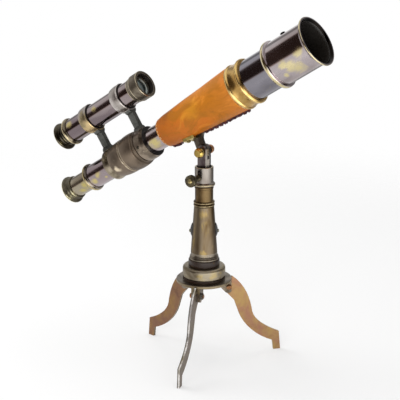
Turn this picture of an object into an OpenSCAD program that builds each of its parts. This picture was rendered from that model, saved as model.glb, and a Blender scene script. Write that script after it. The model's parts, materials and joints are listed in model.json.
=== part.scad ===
// Desk telescope with a finder barrel, on a tilting fork and a folding tripod.
// The origin is on the pillar's axis at the surface that the feet stand on.
// +Z is up and +X is the level direction in which the telescope points.
// Stations along the telescope are measured from the point of its axis that is nearest to the tilt bolt,
// and grow towards the objective.

/* [Telescope placing] */
// Angle of the telescope above level as it stands
rest_tilt = 32.65; // [25:0.05:40]
// Distance from the telescope's axis to the tilt bolt's axis
bolt_drop = 27; // [25:0.5:32]

/* [Main barrel] */
// Station of the leather's rear end
leather_back = -23.4; // [-26:0.1:-18]
// Length of the leather sleeve
leather_len = 77; // [65:0.5:90]
// Outer radius of the leather at its rear end
leather_back_r = 12.2; // [11.8:0.1:12.8]
// Outer radius of the leather over the saddle
leather_mid_r = 14.5; // [14:0.1:15.5]
// Station at which the leather has that radius
leather_mid_at = 7.5; // [5:0.5:15]
// Outer radius of the leather at the ferrule
leather_front_r = 17.5; // [17:0.1:18.5]
// Thickness of the leather
leather_wall = 1.2; // [0.8:0.1:1.6]
// Wall of the brass barrel, and of the tube behind it
barrel_wall = 0.9; // [0.7:0.1:1.2]
// Length of the ferrule at the leather's front end
ferrule_len = 12.9; // [9:0.1:16]
// Radius of the ferrule's front and rear beads
ferrule_r = 18; // [17.9:0.1:19]
// Length of each bead of the ferrule
ferrule_bead = 3; // [2:0.1:3.6]

/* [Objective and sunshade] */
// Outer radius of the objective tube
objective_r = 15.6; // [15:0.1:16.2]
// Wall of the objective tube and of the sunshade
shade_wall = 0.8; // [0.6:0.1:1.1]
// Distance from the ferrule to the sunshade's rear ring
shade_out = 22.5; // [16:0.5:26]
// Length of the sunshade with its rim
shade_len = 37.6; // [34:0.2:44]
// Outer radius of the sunshade's tube
shade_r = 16.8; // [16.8:0.1:17.6]
// Radius of the flared rim
shade_rim_r = 19; // [18.2:0.1:20.5]
// Length of the flare and the rim
shade_rim_len = 3.2; // [2.5:0.1:4]
// Radius of the sunshade's rear ring
shade_ring_r = 18.5; // [17.8:0.1:19.5]
// Length of the sunshade's rear ring
shade_ring_len = 3.6; // [2.8:0.1:5]
// Length of the guide slot
guide_slot_len = 16.5; // [10:0.5:18]
// Width of the guide slot
guide_slot_w = 3; // [2.6:0.1:3.6]
// Distance from the sunshade's rear end to the guide slot
guide_slot_from = 9; // [7:0.5:11]
// Distance from the slot's rear end to the guide screw
guide_screw_from = 7.5; // [4:0.5:9]
// Radius of the objective lens
objective_lens_r = 13.6; // [12.5:0.1:14]
// Thickness of the objective lens in the middle
objective_lens_t = 4.6; // [4:0.1:6]

/* [Rear tube and eyepiece] */
// Outer radius of the rear tube
rear_tube_r = 9.85; // [9.5:0.05:10.2]
// Length of rear tube that shows in front of the front link
rear_tube_show = 14.9; // [12:0.1:20]
// Length of rear tube behind the rear link
rear_tube_tail = 21.8; // [14:0.2:26]
// Largest radius of the turned body between the links
body_r = 14.8; // [14.2:0.1:16]
// Length of the turned body
body_len = 30.3; // [24:0.1:36]
// Radius of the guide ring on the end of the rear tube
guide_ring_r = 11.6; // [10.9:0.1:12.4]
// Length of the guide ring
guide_ring_len = 4.4; // [3.5:0.1:5.5]
// Outer radius of the draw tube
draw_r = 8.4; // [8:0.1:8.8]
// Wall of the draw tubes
draw_wall = 0.7; // [0.5:0.1:1]
// Length of draw tube between the guide ring and the eye cup
draw_show = 17.6; // [12:0.2:22]
// Length of draw tube inside the rear tube
draw_inside = 26; // [20:1:32]
// Radius of the eye cup's rim
eye_cup_r = 11.4; // [10.4:0.1:12.2]
// Length of the eye cup
eye_cup_len = 7.4; // [6.6:0.1:9]
// Radius of the eye hole
eye_hole_r = 4.6; // [3.5:0.1:5.2]

/* [Finder] */
// Distance from the main axis to the finder's axis
finder_rise = 40.7; // [38:0.1:46]
// Outer radius of the finder's tube
finder_r = 9.7; // [9.2:0.1:10]
// Length of finder tube behind the rear link
finder_tail = 25.2; // [18:0.2:30]
// Length of the finder's tube that shows between the front link and the hood
finder_front_show = 9.8; // [7:0.1:14]
// Length of the hood
hood_len = 12.2; // [11:0.1:15]
// Outer radius of the hood
hood_r = 11; // [10.4:0.1:12]
// Thickness of the finder's lens in the middle
finder_lens_t = 3.2; // [2.8:0.1:4]
// Radius of the finder's guide ring
finder_ring_r = 11.5; // [10.8:0.1:12.2]
// Length of the finder's guide ring
finder_ring_len = 4.2; // [3:0.1:5]
// Outer radius of the finder's draw tube
finder_draw_r = 7.9; // [7.4:0.1:8.2]
// Length of draw tube between the finder's guide ring and its eye cup
finder_draw_show = 1.8; // [1.5:0.1:5]
// Length of draw tube inside the finder
finder_draw_inside = 22; // [16:1:26]
// Length of the finder's eye cup
finder_cup_len = 7.2; // [6.6:0.1:9]

/* [Links] */
// Outer radius of the collars round the finder
upper_collar_r = 11.4; // [11:0.1:12.2]
// Length of the collars round the finder
upper_collar_len = 8.9; // [8:0.1:10]
// Length of the front link's collar round the rear tube
front_collar_len = 9.7; // [9:0.1:12]
// Outer radius of the front link's collar round the rear tube
front_collar_r = 13; // [12.6:0.1:13.2]
// Distance from the front link's web to the front of its lower collar
collar_nose = 3.5; // [2.5:0.1:3.6]
// Length of the rear link's collar round the rear tube
rear_collar_len = 5.8; // [5.7:0.1:9]
// Outer radius of the rear link's collar round the rear tube
rear_collar_r = 12.9; // [11.6:0.1:13.2]
// Length of each link's web along the telescope
web_len = 5.6; // [4:0.1:6]
// Width of each link's web across the telescope
web_w = 4.4; // [3:0.1:6]
// Radius of the fillets where a web meets its collars
web_fillet = 3.4; // [1.5:0.1:5]

/* [Saddle and tilt joint] */
// Length of the saddle behind the station of the tilt bolt
saddle_aft = 8.7; // [8:0.1:11]
// Length of the saddle in front of the station of the tilt bolt
saddle_fore = 1.9; // [0.5:0.1:3]
// Width of the saddle
saddle_w = 13; // [11:0.5:15]
// Thickness of the saddle
saddle_t = 1.9; // [1.4:0.1:2.4]
// Thickness of the tongue
tongue_t = 2.4; // [1.8:0.1:3]
// Radius of the tongue's round end
tongue_r = 4.9; // [4:0.1:5.4]
// Height of the tilt bolt above the surface under the feet
bolt_z = 167.7; // [162:0.1:172]
// Radius of the tilt bolt
bolt_r = 1.5; // [1.2:0.1:1.8]
// Radius of the brass clamping knob
knob_r = 3.9; // [2.9:0.1:4.5]
// Length of the brass clamping knob
knob_len = 5.4; // [4:0.1:7]
// Radius of the copper bolt head
bolt_head_r = 3.6; // [2.5:0.1:4]

/* [Fork post] */
// Width of the fork along X
fork_w = 7.2; // [6:0.1:7.4]
// Thickness of each cheek
cheek_t = 2.5; // [1.8:0.1:2.6]
// Height of the cheeks above the bolt's axis
cheek_rise = 5.1; // [4:0.1:6]
// Radius of the round plug that slides in the socket
plug_r = 5.85; // [5.5:0.05:6.1]

/* [Socket and column] */
// Outer radius of the socket
socket_r = 7.17; // [7:0.01:7.6]
// Length of the socket above its bead
socket_len = 12; // [11.5:0.1:14]
// Height of the bead under the socket
socket_bead_len = 3.4; // [2.6:0.1:4]
// Radius of the bead under the socket
socket_bead_r = 8.5; // [8:0.1:9.2]
// Length of the slot for the thumb screw
thumb_slot_len = 7.2; // [6:0.1:7.6]
// Width of the slot for the thumb screw
thumb_slot_w = 2.9; // [2.8:0.1:3.4]
// Distance from the bead to the slot's lower end
thumb_slot_from = 3.1; // [2.4:0.1:3.4]
// Radius of the thumb screw's thread
thumb_r = 1.35; // [1.1:0.05:1.35]
// Radius of the thumb screw's knurled head
thumb_head_r = 4.65; // [4:0.05:6]
// Thickness of the thumb screw's head
thumb_head_t = 3.6; // [2.5:0.1:4.5]
// Distance from the pillar's axis to the outer face of the thumb screw's head
thumb_reach = 20.4; // [18:0.1:24]
// Outer radius of the column
column_r = 7; // [6.8:0.1:7.4]
// Length of the plain column between its beads
column_len = 11.4; // [9:0.1:14]
// Height of the bead at the foot of the column
column_bead_len = 4.4; // [3.4:0.1:5]
// Radius of the bead at the foot of the column
column_bead_r = 8.2; // [7.9:0.1:9]

/* [Pillar] */
// Length of the pillar below the column's bead
pillar_len = 42.6; // [38:0.2:52]
// Radius of the pillar at its top
pillar_top_r = 7.75; // [7.4:0.05:8]
// Radius of the pillar where the flare starts
pillar_low_r = 10.35; // [9.6:0.05:10.6]
// Radius of the flare's foot
pillar_foot_r = 11.4; // [11.2:0.1:12.8]
// Height of the flare
pillar_flare = 5.4; // [4:0.1:8]
// Radius of the column's spigot inside the pillar
spigot_r = 6; // [5.6:0.1:6.2]
// Length of the spigot inside the pillar
spigot_len = 28; // [26:0.5:32]
// Height of the side keys' middle below the top of the pillar
key_down = 19.4; // [16:0.1:20]
// Radius of the side keys' rounded backs about the pillar's axis
key_r = 10.6; // [10.2:0.05:11]
// Width of the side keys
key_w = 3.2; // [2.6:0.1:4]
// Direction of the first side key, the second is opposite
key_turn = 31.9; // [0:0.1:180]

/* [Base] */
// Height of the top of the leg bracket's plate above the surface under the feet
bracket_z = 66.2; // [62:0.1:70]
// Radius of the leg bracket's plate
bracket_r = 21.6; // [21:0.1:23]
// Thickness of the leg bracket's plate
bracket_t = 2.1; // [1.6:0.1:2.6]
// Thickness of the black spacer
spacer_t = 2; // [1.2:0.1:3]
// Radius of the black spacer
spacer_r = 16.5; // [14:0.1:17.5]
// Height of the base drum
drum_h = 8.7; // [7:0.1:11]
// Radius of the base drum
drum_r = 16.6; // [15:0.1:18]
// Radius of the drum's rounded upper edge
drum_round = 2.2; // [1:0.1:3]
// Height of the black neck ring
neck_h = 5.2; // [3:0.1:7]
// Radius of the black neck ring
neck_r = 12; // [10:0.1:12.8]
// Radius of the centre bolt
centre_bolt_r = 2.5; // [2:0.1:3]

/* [Legs] */
// Direction of the right leg, seen from above and counted from the direction of the telescope
right_turn = 45.8; // [35:0.1:60]
// Direction of the rear leg
rear_turn = 167.6; // [155:0.1:180]
// Direction of the front leg
front_turn = 284.1; // [275:0.1:300]
// Thickness of each leg
leg_t = 2; // [1.6:0.1:2.6]
// Distance from the pillar's axis to the outer corner of each foot
foot_reach = 63.2; // [58:0.1:72]
// Length of each foot along its leg
foot_len = 5.8; // [4.5:0.1:8]
// Height of each foot's outer edge
foot_h = 15.1; // [13:0.1:17]
// Distance from the pillar's axis to the outer edge of the knee
knee_out = 39.3; // [37:0.1:42]
// Distance from the leg pins down to the knee
knee_down = 23.3; // [21:0.1:26]
// Width of each leg at the knee, measured level
knee_w = 11.3; // [9:0.1:12.5]
// Distance from the pillar's axis to the leg pins
pin_out = 19.3; // [19:0.1:19.4]
// Distance from the plate's underside down to the leg pins
pin_down = 6.3; // [6.2:0.1:6.8]
// Radius of the leg pins
pin_r = 1.5; // [1.2:0.1:1.8]
// Radius of the round upper end of each leg
leg_end_r = 4.6; // [4:0.1:5]
// Thickness of each ear of the leg bracket
ear_t = 2.2; // [1.6:0.1:2.6]

/* [Fits] */
// Running clearance on the radius of parts that turn or slide in each other
run_fit = 0.05; // [0.03:0.01:0.09]
// Clearance between fixed parts that seat in each other
seat_fit = 0.05; // [0.02:0.01:0.09]
// Free space between moving parts that don't bear on each other
free_gap = 0.3; // [0.25:0.05:0.5]

/* [Hidden] */
$fn = 72;
// Small step that breaks turned edges, and the width of the sunshade's lip
edge_r = 0.3;
rim_lip = 1.3;

// Colours
bronze = "#3b332c";
satin_bronze = "#75685a";
brass = "#c09a48";
copper = "#b0714a";
leg_brass = "#a5744b";
leather_tan = "#b8651f";
black = "#1d1a19";
grey_cast = "#4b4c4a";
glass = [0.6, 0.72, 0.72, 0.5];

// Stations of the main barrel, from the rear of the leather forwards
leather_neck_run = 5;
leather_neck = leather_back + leather_neck_run;
leather_front = leather_back + leather_len;
ferrule_front = leather_front + ferrule_len;
shade_back = ferrule_front + shade_out;
shade_mouth = shade_back + shade_len;
shade_bore_r = shade_r - shade_wall;
guide_slot_back = shade_back + guide_slot_from;
guide_screw_at = guide_slot_back + guide_screw_from;
guide_screw_r = guide_slot_w / 2 - 0.2;
guide_head_r = 2;
guide_head_h = 1.1;
objective_bore_r = objective_r - shade_wall;
objective_front = guide_screw_at + 4;
shade_relief = 0.25;
cap_seat_back = objective_front + free_gap;
ferrule_lap = 5;
lens_edge = 1.6;
cell_len = 5.6;
cell_clear = 2.7;
cell_back = guide_screw_at - guide_screw_r - cell_clear - cell_len;
cell_lip = 1.6;
cell_lip_len = 2.5;
lens_seat = cell_back + cell_lip_len;
lens_ring_w = 1.3;
lens_low = lens_seat + seat_fit
    + dome_at(objective_lens_t, lens_edge, objective_lens_r, objective_lens_r - cell_lip);
lens_ring_low = lens_low + lens_edge + seat_fit
    + dome_at(objective_lens_t, lens_edge, objective_lens_r, objective_lens_r - lens_ring_w);

// Stations of the rear tube, from the leather backwards
front_collar_front = leather_back - rear_tube_show;
front_link_at = front_collar_front - collar_nose;
body_front = front_collar_front - front_collar_len;
body_back = body_front - body_len;
rear_link_at = body_back;
rear_collar_back = rear_link_at - rear_collar_len;
rear_tube_back = rear_collar_back - rear_tube_tail;
rear_tube_front = leather_back + 3;
rear_bore_r = rear_tube_r - barrel_wall;
guide_ring_back = rear_tube_back - guide_ring_len;
guide_lap = 5;
eye_cup_front = guide_ring_back - draw_show;
eye_cup_back = eye_cup_front - eye_cup_len;
cup_lap = 1.6;
cup_lip = 1.2;
draw_back = eye_cup_front - cup_lap;
draw_front = rear_tube_back + draw_inside;
eye_lens_t = 2.6;
eye_lens_edge = 0.9;
eye_lens_in = (eye_lens_t - eye_lens_edge) / 2 + seat_fit;

// Stations of the finder, which shares the links
finder_back = rear_link_at - finder_tail;
finder_wall = barrel_wall;
finder_ring_back = finder_back - finder_ring_len;
hood_back = front_link_at + finder_front_show;
hood_mouth = hood_back + hood_len;
hood_flare = 4.2;
hood_seat = 5;
hood_lap = 6;
hood_spigot_r = finder_r - finder_wall - seat_fit;
hood_bore_r = hood_spigot_r - draw_wall;
finder_lens_r = hood_bore_r + 0.5;
finder_lens_edge = 1.4;
finder_lens_seat = hood_back + hood_seat;
finder_lens_low = finder_lens_seat + seat_fit
    + dome_at(finder_lens_t, finder_lens_edge, finder_lens_r, hood_bore_r);
finder_lens_ring_low = finder_lens_low + finder_lens_edge + seat_fit
    + dome_at(finder_lens_t, finder_lens_edge, finder_lens_r, finder_lens_r - lens_ring_w);
finder_lens_ring_top = finder_lens_ring_low + 1.5;
finder_cup_front = finder_ring_back - finder_draw_show;
finder_cup_back = finder_cup_front - finder_cup_len;
finder_draw_back = finder_cup_front - cup_lap;
finder_draw_front = finder_back + finder_draw_inside;

// Screws in the front link's lower collar
collar_screw_r = 0.9;
collar_head_r = 1.3;
collar_screw_sunk = 0.4;

// Saddle, tongue and fork
saddle_screw_at = -6;
saddle_screw_turn = 13;
saddle_screw_r = 0.9;
saddle_head_r = 1.8;
saddle_head_h = 1;
tongue_gap = 0.1;
fork_slot = tongue_t + 2 * tongue_gap;
fork_half = fork_slot / 2 + cheek_t;
fork_slot_floor = bolt_z - tongue_r - 1.1;
washer_t = 0.8;
far_washer_t = 2.8;
washer_r = 2.6;
knob_from = fork_half + washer_t + 2 * seat_fit;
knob_cap = 1;
bolt_head_from = fork_half + far_washer_t + 2 * seat_fit;
bolt_head_len = 3.5;

// Heights of the stand, from the bracket upwards
bracket_low = bracket_z - bracket_t;
spacer_top = bracket_z + spacer_t;
drum_lip = 0.8;
drum_top = spacer_top + drum_h;
neck_top = drum_top + neck_h;
pillar_top = neck_top + pillar_len;
column_bead_top = pillar_top + column_bead_len;
column_top = column_bead_top + column_len;
socket_floor = column_top + 0.6;
socket_bead_top = column_top + socket_bead_len;
socket_top = socket_bead_top + socket_len;
socket_bore_r = plug_r + run_fit;
thumb_slot_low = socket_bead_top + thumb_slot_from;
thumb_z = thumb_slot_low + thumb_slot_w / 2;
plug_low = socket_floor + free_gap;
plug_top = thumb_z + 3.6;
thumb_tip = 2.4;
thumb_boss_r = 2.5;
thumb_boss_from = socket_r + 0.9;
thumb_cap_r = 2;
thumb_cap_h = 1.2;
thumb_cap_sunk = 0.8;
knurl_count = 28;
knurl_r = 0.32;
tenon_r = 4.8;
tenon_len = 7;
pillar_bore_r = spigot_r + seat_fit;
pillar_solid = pillar_flare + 3;
key_z = pillar_top - key_down;
key_half = 5.7;
key_screw_z = key_z - 0.7;
key_screw_r = 0.9;
key_screw_tip = 3;
key_head_r = 1.4;
key_head_h = 1;
centre_head_r = 5;
centre_head_h = 3.2;
centre_slot = 1.2;
centre_gap = 0.5;
centre_bolt_top = neck_top + pillar_flare;

// Legs
pin_z = bracket_low - pin_down;
ear_gap = leg_t + 2 * free_gap;
ear_half = ear_gap / 2 + ear_t;
ear_in = 12.6;
ear_drop = 5.2;
ear_low = pin_z - ear_drop;
leg_head_bow = 4.1;
nose_in = bracket_r + 0.35;
nose_top = bracket_z - 0.7;
pin_head_r = 2.2;
pin_head_h = 1.8;
nut_r = 2.5;
nut_h = 2;
pin_end = 0.6;

// Points on the arc from a to b whose middle stands h to the left of the line from a to b
function bow(a, b, h, n = 6) =
    let (
        d = b - a,
        run = norm(d),
        left = [-d.y, d.x] / run,
        side = sign(h),
        radius = (run * run / 4 + h * h) / (2 * abs(h)),
        centre = (a + b) / 2 - left * side * (radius - abs(h)),
        half_turn = asin(run / 2 / radius)
    )
    [for (i = [0:n])
        let (turn = half_turn * (2 * i / n - 1))
        centre + radius * (side * left * cos(turn) + d / run * sin(turn))];

// Points on the cubic curve from a to d that leaves towards b and arrives from c
function curve(a, b, c, d, n = 8) =
    [for (i = [0:n])
        let (t = i / n, s = 1 - t)
        s * s * s * a + 3 * s * s * t * b + 3 * s * t * t * c + t * t * t * d];

// Height of a lens's dome over its edge, at a radius
function dome_at(thick, edge, radius, at) = (thick - edge) / 2 * (1 - at * at / radius / radius);

// Outer radius of the leather at a station, for the two cones that it is made of
function leather_r(at) =
    at < leather_mid_at
    ? leather_back_r
        + (leather_mid_r - leather_back_r) * (at - leather_back) / (leather_mid_at - leather_back)
    : leather_mid_r
        + (leather_front_r - leather_mid_r) * (at - leather_mid_at) / (leather_front - leather_mid_at);

// Carries things drawn up the Z axis to the telescope's axis, with local +X towards the tilt bolt
module on_main() {
    translate([0, 0, bolt_z])
        rotate([0, 90 - rest_tilt, 0])
            translate([-bolt_drop, 0, 0])
                children();
}

// The same for the finder's axis
module on_finder() {
    on_main()
        translate([-finder_rise, 0, 0])
            children();
}

// A turned solid from an outline of [radius, height] points
module turned(points) {
    rotate_extrude()
        polygon(points);
}

// A round tube between two heights
module tube(outer, inner, low, high) {
    turned([[inner, low], [outer, low], [outer, high], [inner, high]]);
}

// A lens with two domed faces and a cylindrical edge, its edge starting at low
module lens(radius, edge, thick, low) {
    dome = (thick - edge) / 2;
    turned(concat(
        bow([0, low - dome], [radius, low], -dome / 4),
        bow([radius, low + edge], [0, low + edge + dome], -dome / 4)
    ));
}

// A slotted screw along +Z: its head's seat is at height 0 and its shank goes down
module slotted_screw(shank_r, shank_len, head_r, head_h) {
    slot_w = head_r * 0.3;
    rim_h = head_h * 0.4;
    difference() {
        turned(concat(
            [[0, -shank_len], [shank_r, -shank_len], [shank_r, 0], [head_r, 0]],
            bow([head_r, rim_h], [0, head_h], -rim_h / 2)
        ));
        translate([-head_r, -slot_w / 2, head_h - rim_h])
            cube([2 * head_r, slot_w, head_h]);
    }
}

// Telescope: objective end

module objective_lens() {
    color(glass)
        on_main()
            lens(objective_lens_r, lens_edge, objective_lens_t, lens_low);
}

module lens_cell() {
    outer = objective_bore_r - seat_fit;
    inner = objective_lens_r + seat_fit;
    color(black)
        on_main()
            turned([
                [inner - cell_lip, cell_back],
                [outer, cell_back],
                [outer, cell_back + cell_len],
                [inner, cell_back + cell_len],
                [inner, lens_seat],
                [inner - cell_lip, lens_seat]
            ]);
}

module lens_ring() {
    color(bronze)
        on_main()
            tube(objective_lens_r, objective_lens_r - lens_ring_w, lens_ring_low, cell_back + cell_len);
}

module objective_tube() {
    low = ferrule_front - ferrule_lap;
    color(bronze)
        on_main()
            difference() {
                tube(objective_r, objective_bore_r, low, objective_front);
                translate([-objective_r, 0, guide_screw_at])
                    rotate([0, 90, 0])
                        cylinder(r = guide_screw_r + seat_fit, h = 4 * shade_wall, center = true);
            }
}

module sunshade() {
    flare = shade_mouth - shade_rim_len;
    ring_top = shade_back + shade_ring_len;
    bearing_r = objective_r + run_fit;
    relief_r = shade_bore_r + shade_relief;
    slot_from = guide_slot_back + guide_slot_w / 2;
    slot_to = guide_slot_back + guide_slot_len - guide_slot_w / 2;
    color(bronze)
        on_main()
            difference() {
                turned(concat(
                    [[bearing_r, shade_back], [shade_ring_r - 2 * edge_r, shade_back]],
                    bow([shade_ring_r - edge_r, shade_back + edge_r],
                        [shade_ring_r - edge_r, ring_top - edge_r], -edge_r),
                    [[shade_r, ring_top]],
                    bow([shade_r, flare], [shade_rim_r, shade_mouth - 3 * edge_r], edge_r),
                    [[shade_rim_r, shade_mouth - edge_r], [shade_rim_r - edge_r, shade_mouth]],
                    [[shade_rim_r - rim_lip, shade_mouth]],
                    bow([shade_rim_r - rim_lip - edge_r, shade_mouth - edge_r],
                        [shade_bore_r, flare], -edge_r),
                    [[shade_bore_r, cap_seat_back], [relief_r, cap_seat_back], [relief_r, ring_top]],
                    [[bearing_r, ring_top]]
                ));
                for (at = [slot_from, slot_to])
                    translate([-shade_r, 0, at])
                        rotate([0, 90, 0])
                            cylinder(r = guide_slot_w / 2, h = 4 * shade_wall, center = true);
                translate([-shade_r - 2 * shade_wall, -guide_slot_w / 2, slot_from])
                    cube([4 * shade_wall, guide_slot_w, slot_to - slot_from]);
            }
}

module guide_screw() {
    head_seat = shade_r + free_gap;
    color(black)
        on_main()
            translate([-head_seat, 0, guide_screw_at])
                rotate([0, -90, 0])
                    slotted_screw(guide_screw_r, head_seat - objective_bore_r, guide_head_r, guide_head_h);
}

module ferrule() {
    low = leather_front;
    high = ferrule_front;
    waist_r = ferrule_r - 0.8;
    bead_low = low + ferrule_bead;
    bead_high = high - ferrule_bead;
    seat = high - ferrule_lap - seat_fit;
    throat_r = objective_bore_r - 0.9;
    color(brass)
        on_main()
            turned(concat(
                [[throat_r, low], [ferrule_r - 2 * edge_r, low]],
                bow([ferrule_r - 0.5, low + 0.2], [ferrule_r - 0.5, bead_low - 0.4], -0.5),
                [[waist_r, bead_low]],
                bow([waist_r, bead_low + edge_r], [waist_r, bead_high - edge_r], edge_r),
                [[waist_r, bead_high]],
                bow([ferrule_r - 0.5, bead_high + edge_r], [ferrule_r - 0.5, high - 2 * edge_r], -0.5),
                [[ferrule_r - 1, high], [objective_r + seat_fit, high], [objective_r + seat_fit, seat]],
                [[throat_r, seat]]
            ));
}

// Telescope: main barrel

module main_barrel() {
    outer_neck = leather_r(leather_neck) - leather_wall - seat_fit;
    outer_mid = leather_mid_r - leather_wall - seat_fit;
    outer_front = leather_front_r - leather_wall - seat_fit;
    tube_seat = rear_tube_r + seat_fit;
    color(satin_bronze)
        on_main()
            difference() {
                turned([
                    [tube_seat, leather_back],
                    [tube_seat + barrel_wall, leather_back],
                    [outer_neck, leather_neck],
                    [outer_mid, leather_mid_at],
                    [outer_front, leather_front],
                    [outer_front - barrel_wall, leather_front],
                    [outer_mid - barrel_wall, leather_mid_at],
                    [outer_neck - barrel_wall, leather_neck],
                    [tube_seat, rear_tube_front]
                ]);
                saddle_screw_holes();
            }
}

module leather_sleeve() {
    inner_back = rear_tube_r + barrel_wall + 2 * seat_fit;
    color(leather_tan)
        on_main()
            difference() {
                turned(concat(
                    [[inner_back, leather_back]],
                    bow([inner_back + leather_wall / 2, leather_back],
                        [leather_r(leather_neck), leather_neck], -0.35),
                    [[leather_mid_r, leather_mid_at]],
                    [[leather_front_r, leather_front]],
                    [[leather_front_r - leather_wall, leather_front]],
                    [[leather_mid_r - leather_wall, leather_mid_at]],
                    [[leather_r(leather_neck) - leather_wall, leather_neck]]
                ));
                saddle_screw_holes();
            }
}

// Holes for the two saddle screws, right through the wall under the saddle
module saddle_screw_holes() {
    hole_len = 3 * (saddle_t + leather_wall);
    for (turn = [-saddle_screw_turn, saddle_screw_turn])
        rotate([0, 0, turn])
            translate([leather_mid_r, 0, saddle_screw_at])
                rotate([0, 90, 0])
                    cylinder(r = saddle_screw_r + seat_fit, h = hole_len, center = true);
}

module rear_tube() {
    color(bronze)
        on_main()
            tube(rear_tube_r, rear_bore_r, rear_tube_back, rear_tube_front - seat_fit);
}

module turned_body() {
    low = body_back;
    high = body_front;
    groove = low + body_len * 0.48;
    shoulder = high - 2.6;
    end_r = body_r - 1.5;
    side_r = body_r - 0.7;
    bore = rear_tube_r + seat_fit;
    color(satin_bronze)
        on_main()
            turned(concat(
                [[bore, low], [body_r - 2.6, low]],
                bow([body_r - 2.2, low + 0.5], [side_r, groove - 0.5], -0.5),
                [[side_r - 0.5, groove], [side_r, groove + 0.7]],
                bow([side_r + 0.1, groove + 1], [side_r, shoulder - 0.4], -0.5),
                [[end_r, shoulder], [end_r, high], [bore, high]]
            ));
}

// Puts things on the front link's lower collar where its screws are, with +Z outwards from the screws' seats
module at_collar_screws() {
    for (turn = [30, 150, 270])
        rotate([0, 0, turn])
            translate([front_collar_r - collar_screw_sunk, 0, front_link_at - web_len / 2])
                rotate([0, 90, 0])
                    children();
}

module collar_screws() {
    shank_len = front_collar_r - collar_screw_sunk - rear_tube_r - 2 * seat_fit;
    color(black)
        on_main()
            at_collar_screws()
                slotted_screw(collar_screw_r, shank_len, collar_head_r, 2 * collar_screw_sunk);
}

module collar_screw_holes() {
    at_collar_screws() {
        translate([0, 0, -front_collar_r / 2])
            cylinder(r = collar_screw_r + seat_fit, h = front_collar_r / 2 + 1);
        translate([0, 0, -seat_fit])
            cylinder(r = collar_head_r + seat_fit, h = 2);
    }
}

// Telescope: links

// One side of the fillet between a web and a collar, from the collar to the web.
// The collar's centre is at [middle, 0] and the web leaves it towards side
function fillet_side(middle, side, collar_r) =
    let (
        half = web_w / 2,
        across = half + web_fillet,
        along = sqrt(pow(collar_r + web_fillet, 2) - across * across),
        on_collar = [side * along, across] * collar_r / (collar_r + web_fillet),
        sag = web_fillet * (1 - cos(atan2(along, across) / 2))
    )
    bow([middle, 0] + on_collar, [middle + side * along, half], side * sag, 5);

function mirrored(points) = [for (i = [len(points) - 1:-1:0]) [points[i].x, -points[i].y]];

// A link: a collar round the main tube, a collar round the finder and a web between them.
// The web's front is at height 0
module link(lower_r, lower_low, lower_high, upper_high) {
    upper_edge = fillet_side(-finder_rise, 1, upper_collar_r);
    lower_edge = fillet_side(0, -1, lower_r);
    edge = concat(
        [[-finder_rise, 1]],
        upper_edge,
        [for (i = [len(lower_edge) - 1:-1:0]) lower_edge[i]],
        [[0, 1]]
    );
    difference() {
        union() {
            translate([0, 0, -web_len])
                linear_extrude(web_len)
                    polygon(concat(edge, mirrored(edge)));
            turned([[0, lower_low], [lower_r - 0.5, lower_low], [lower_r, lower_low + 0.6],
                [lower_r, lower_high - 3], [lower_r - 0.5, lower_high], [0, lower_high]]);
            translate([-finder_rise, 0, upper_high - upper_collar_len])
                turned(concat(
                    [[0, 0], [upper_collar_r - 0.7, 0]],
                    bow([upper_collar_r - 0.5, 0.3], [upper_collar_r - 0.1, upper_collar_len - 1.2], -0.25),
                    [[upper_collar_r, upper_collar_len - 0.5], [upper_collar_r - 0.4, upper_collar_len]],
                    [[0, upper_collar_len]]
                ));
        }
        translate([0, 0, lower_low - 1])
            cylinder(r = rear_tube_r + seat_fit, h = lower_high - lower_low + 2);
        translate([-finder_rise, 0, upper_high - upper_collar_len - 1])
            cylinder(r = finder_r + seat_fit, h = upper_collar_len + 2);
    }
}

module front_link() {
    color(grey_cast)
        on_main()
            difference() {
                translate([0, 0, front_link_at])
                    link(front_collar_r, collar_nose - front_collar_len, collar_nose, 0.2);
                collar_screw_holes();
            }
}

module rear_link() {
    color(grey_cast)
        on_main()
            translate([0, 0, rear_link_at])
                link(rear_collar_r, -rear_collar_len, 0, 0);
}

// Telescope: eyepiece of the main barrel

// A guide ring screwed on the end of a tube: a beaded flange, and a sleeve inside the tube
module guide_ring(flange_r, low, flange_len, bore_r, tube_bore_r) {
    top = low + flange_len;
    shoulder_r = flange_r - 1.1;
    sleeve_r = tube_bore_r - seat_fit;
    turned(concat(
        [[bore_r, low], [shoulder_r - 0.5, low]],
        bow([flange_r - 0.7, low + edge_r], [flange_r - 0.7, top - 1], -0.7),
        [[shoulder_r, top - 2 * edge_r], [shoulder_r, top], [sleeve_r, top], [sleeve_r, top + guide_lap]],
        [[bore_r, top + guide_lap]]
    ));
}

// An eye cup: a dished disc with a rim behind, a waist and a front bead that holds the draw tube's end
module eye_cup(rim_r, low, length, neck_r) {
    top = low + length;
    floor_at = top - cup_lap - cup_lip;
    waist_r = neck_r + 0.8;
    bead_r = neck_r + 1.1;
    turned(concat(
        [[eye_hole_r, floor_at]],
        bow([eye_hole_r + 0.4, floor_at - 0.4], [rim_r - 1.2, low], 0.6),
        [[rim_r - 0.5, low]],
        bow([rim_r - 0.1, low + 0.4], [rim_r - 0.4, low + 2.1], -edge_r),
        bow([waist_r, low + 2.9], [waist_r, top - 2], edge_r),
        bow([bead_r, top - 1.7], [bead_r, top - edge_r], -edge_r),
        [[neck_r + 0.5, top], [neck_r + seat_fit, top], [neck_r + seat_fit, top - cup_lap]],
        [[eye_hole_r, top - cup_lap]]
    ));
}

module main_guide_ring() {
    color(bronze)
        on_main()
            guide_ring(guide_ring_r, guide_ring_back, guide_ring_len, draw_r + run_fit, rear_bore_r);
}

module main_draw_tube() {
    color(bronze)
        on_main()
            tube(draw_r, draw_r - draw_wall, draw_back + seat_fit, draw_front);
}

module main_eye_cup() {
    color(satin_bronze)
        on_main()
            eye_cup(eye_cup_r, eye_cup_back, eye_cup_len, draw_r);
}

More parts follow.
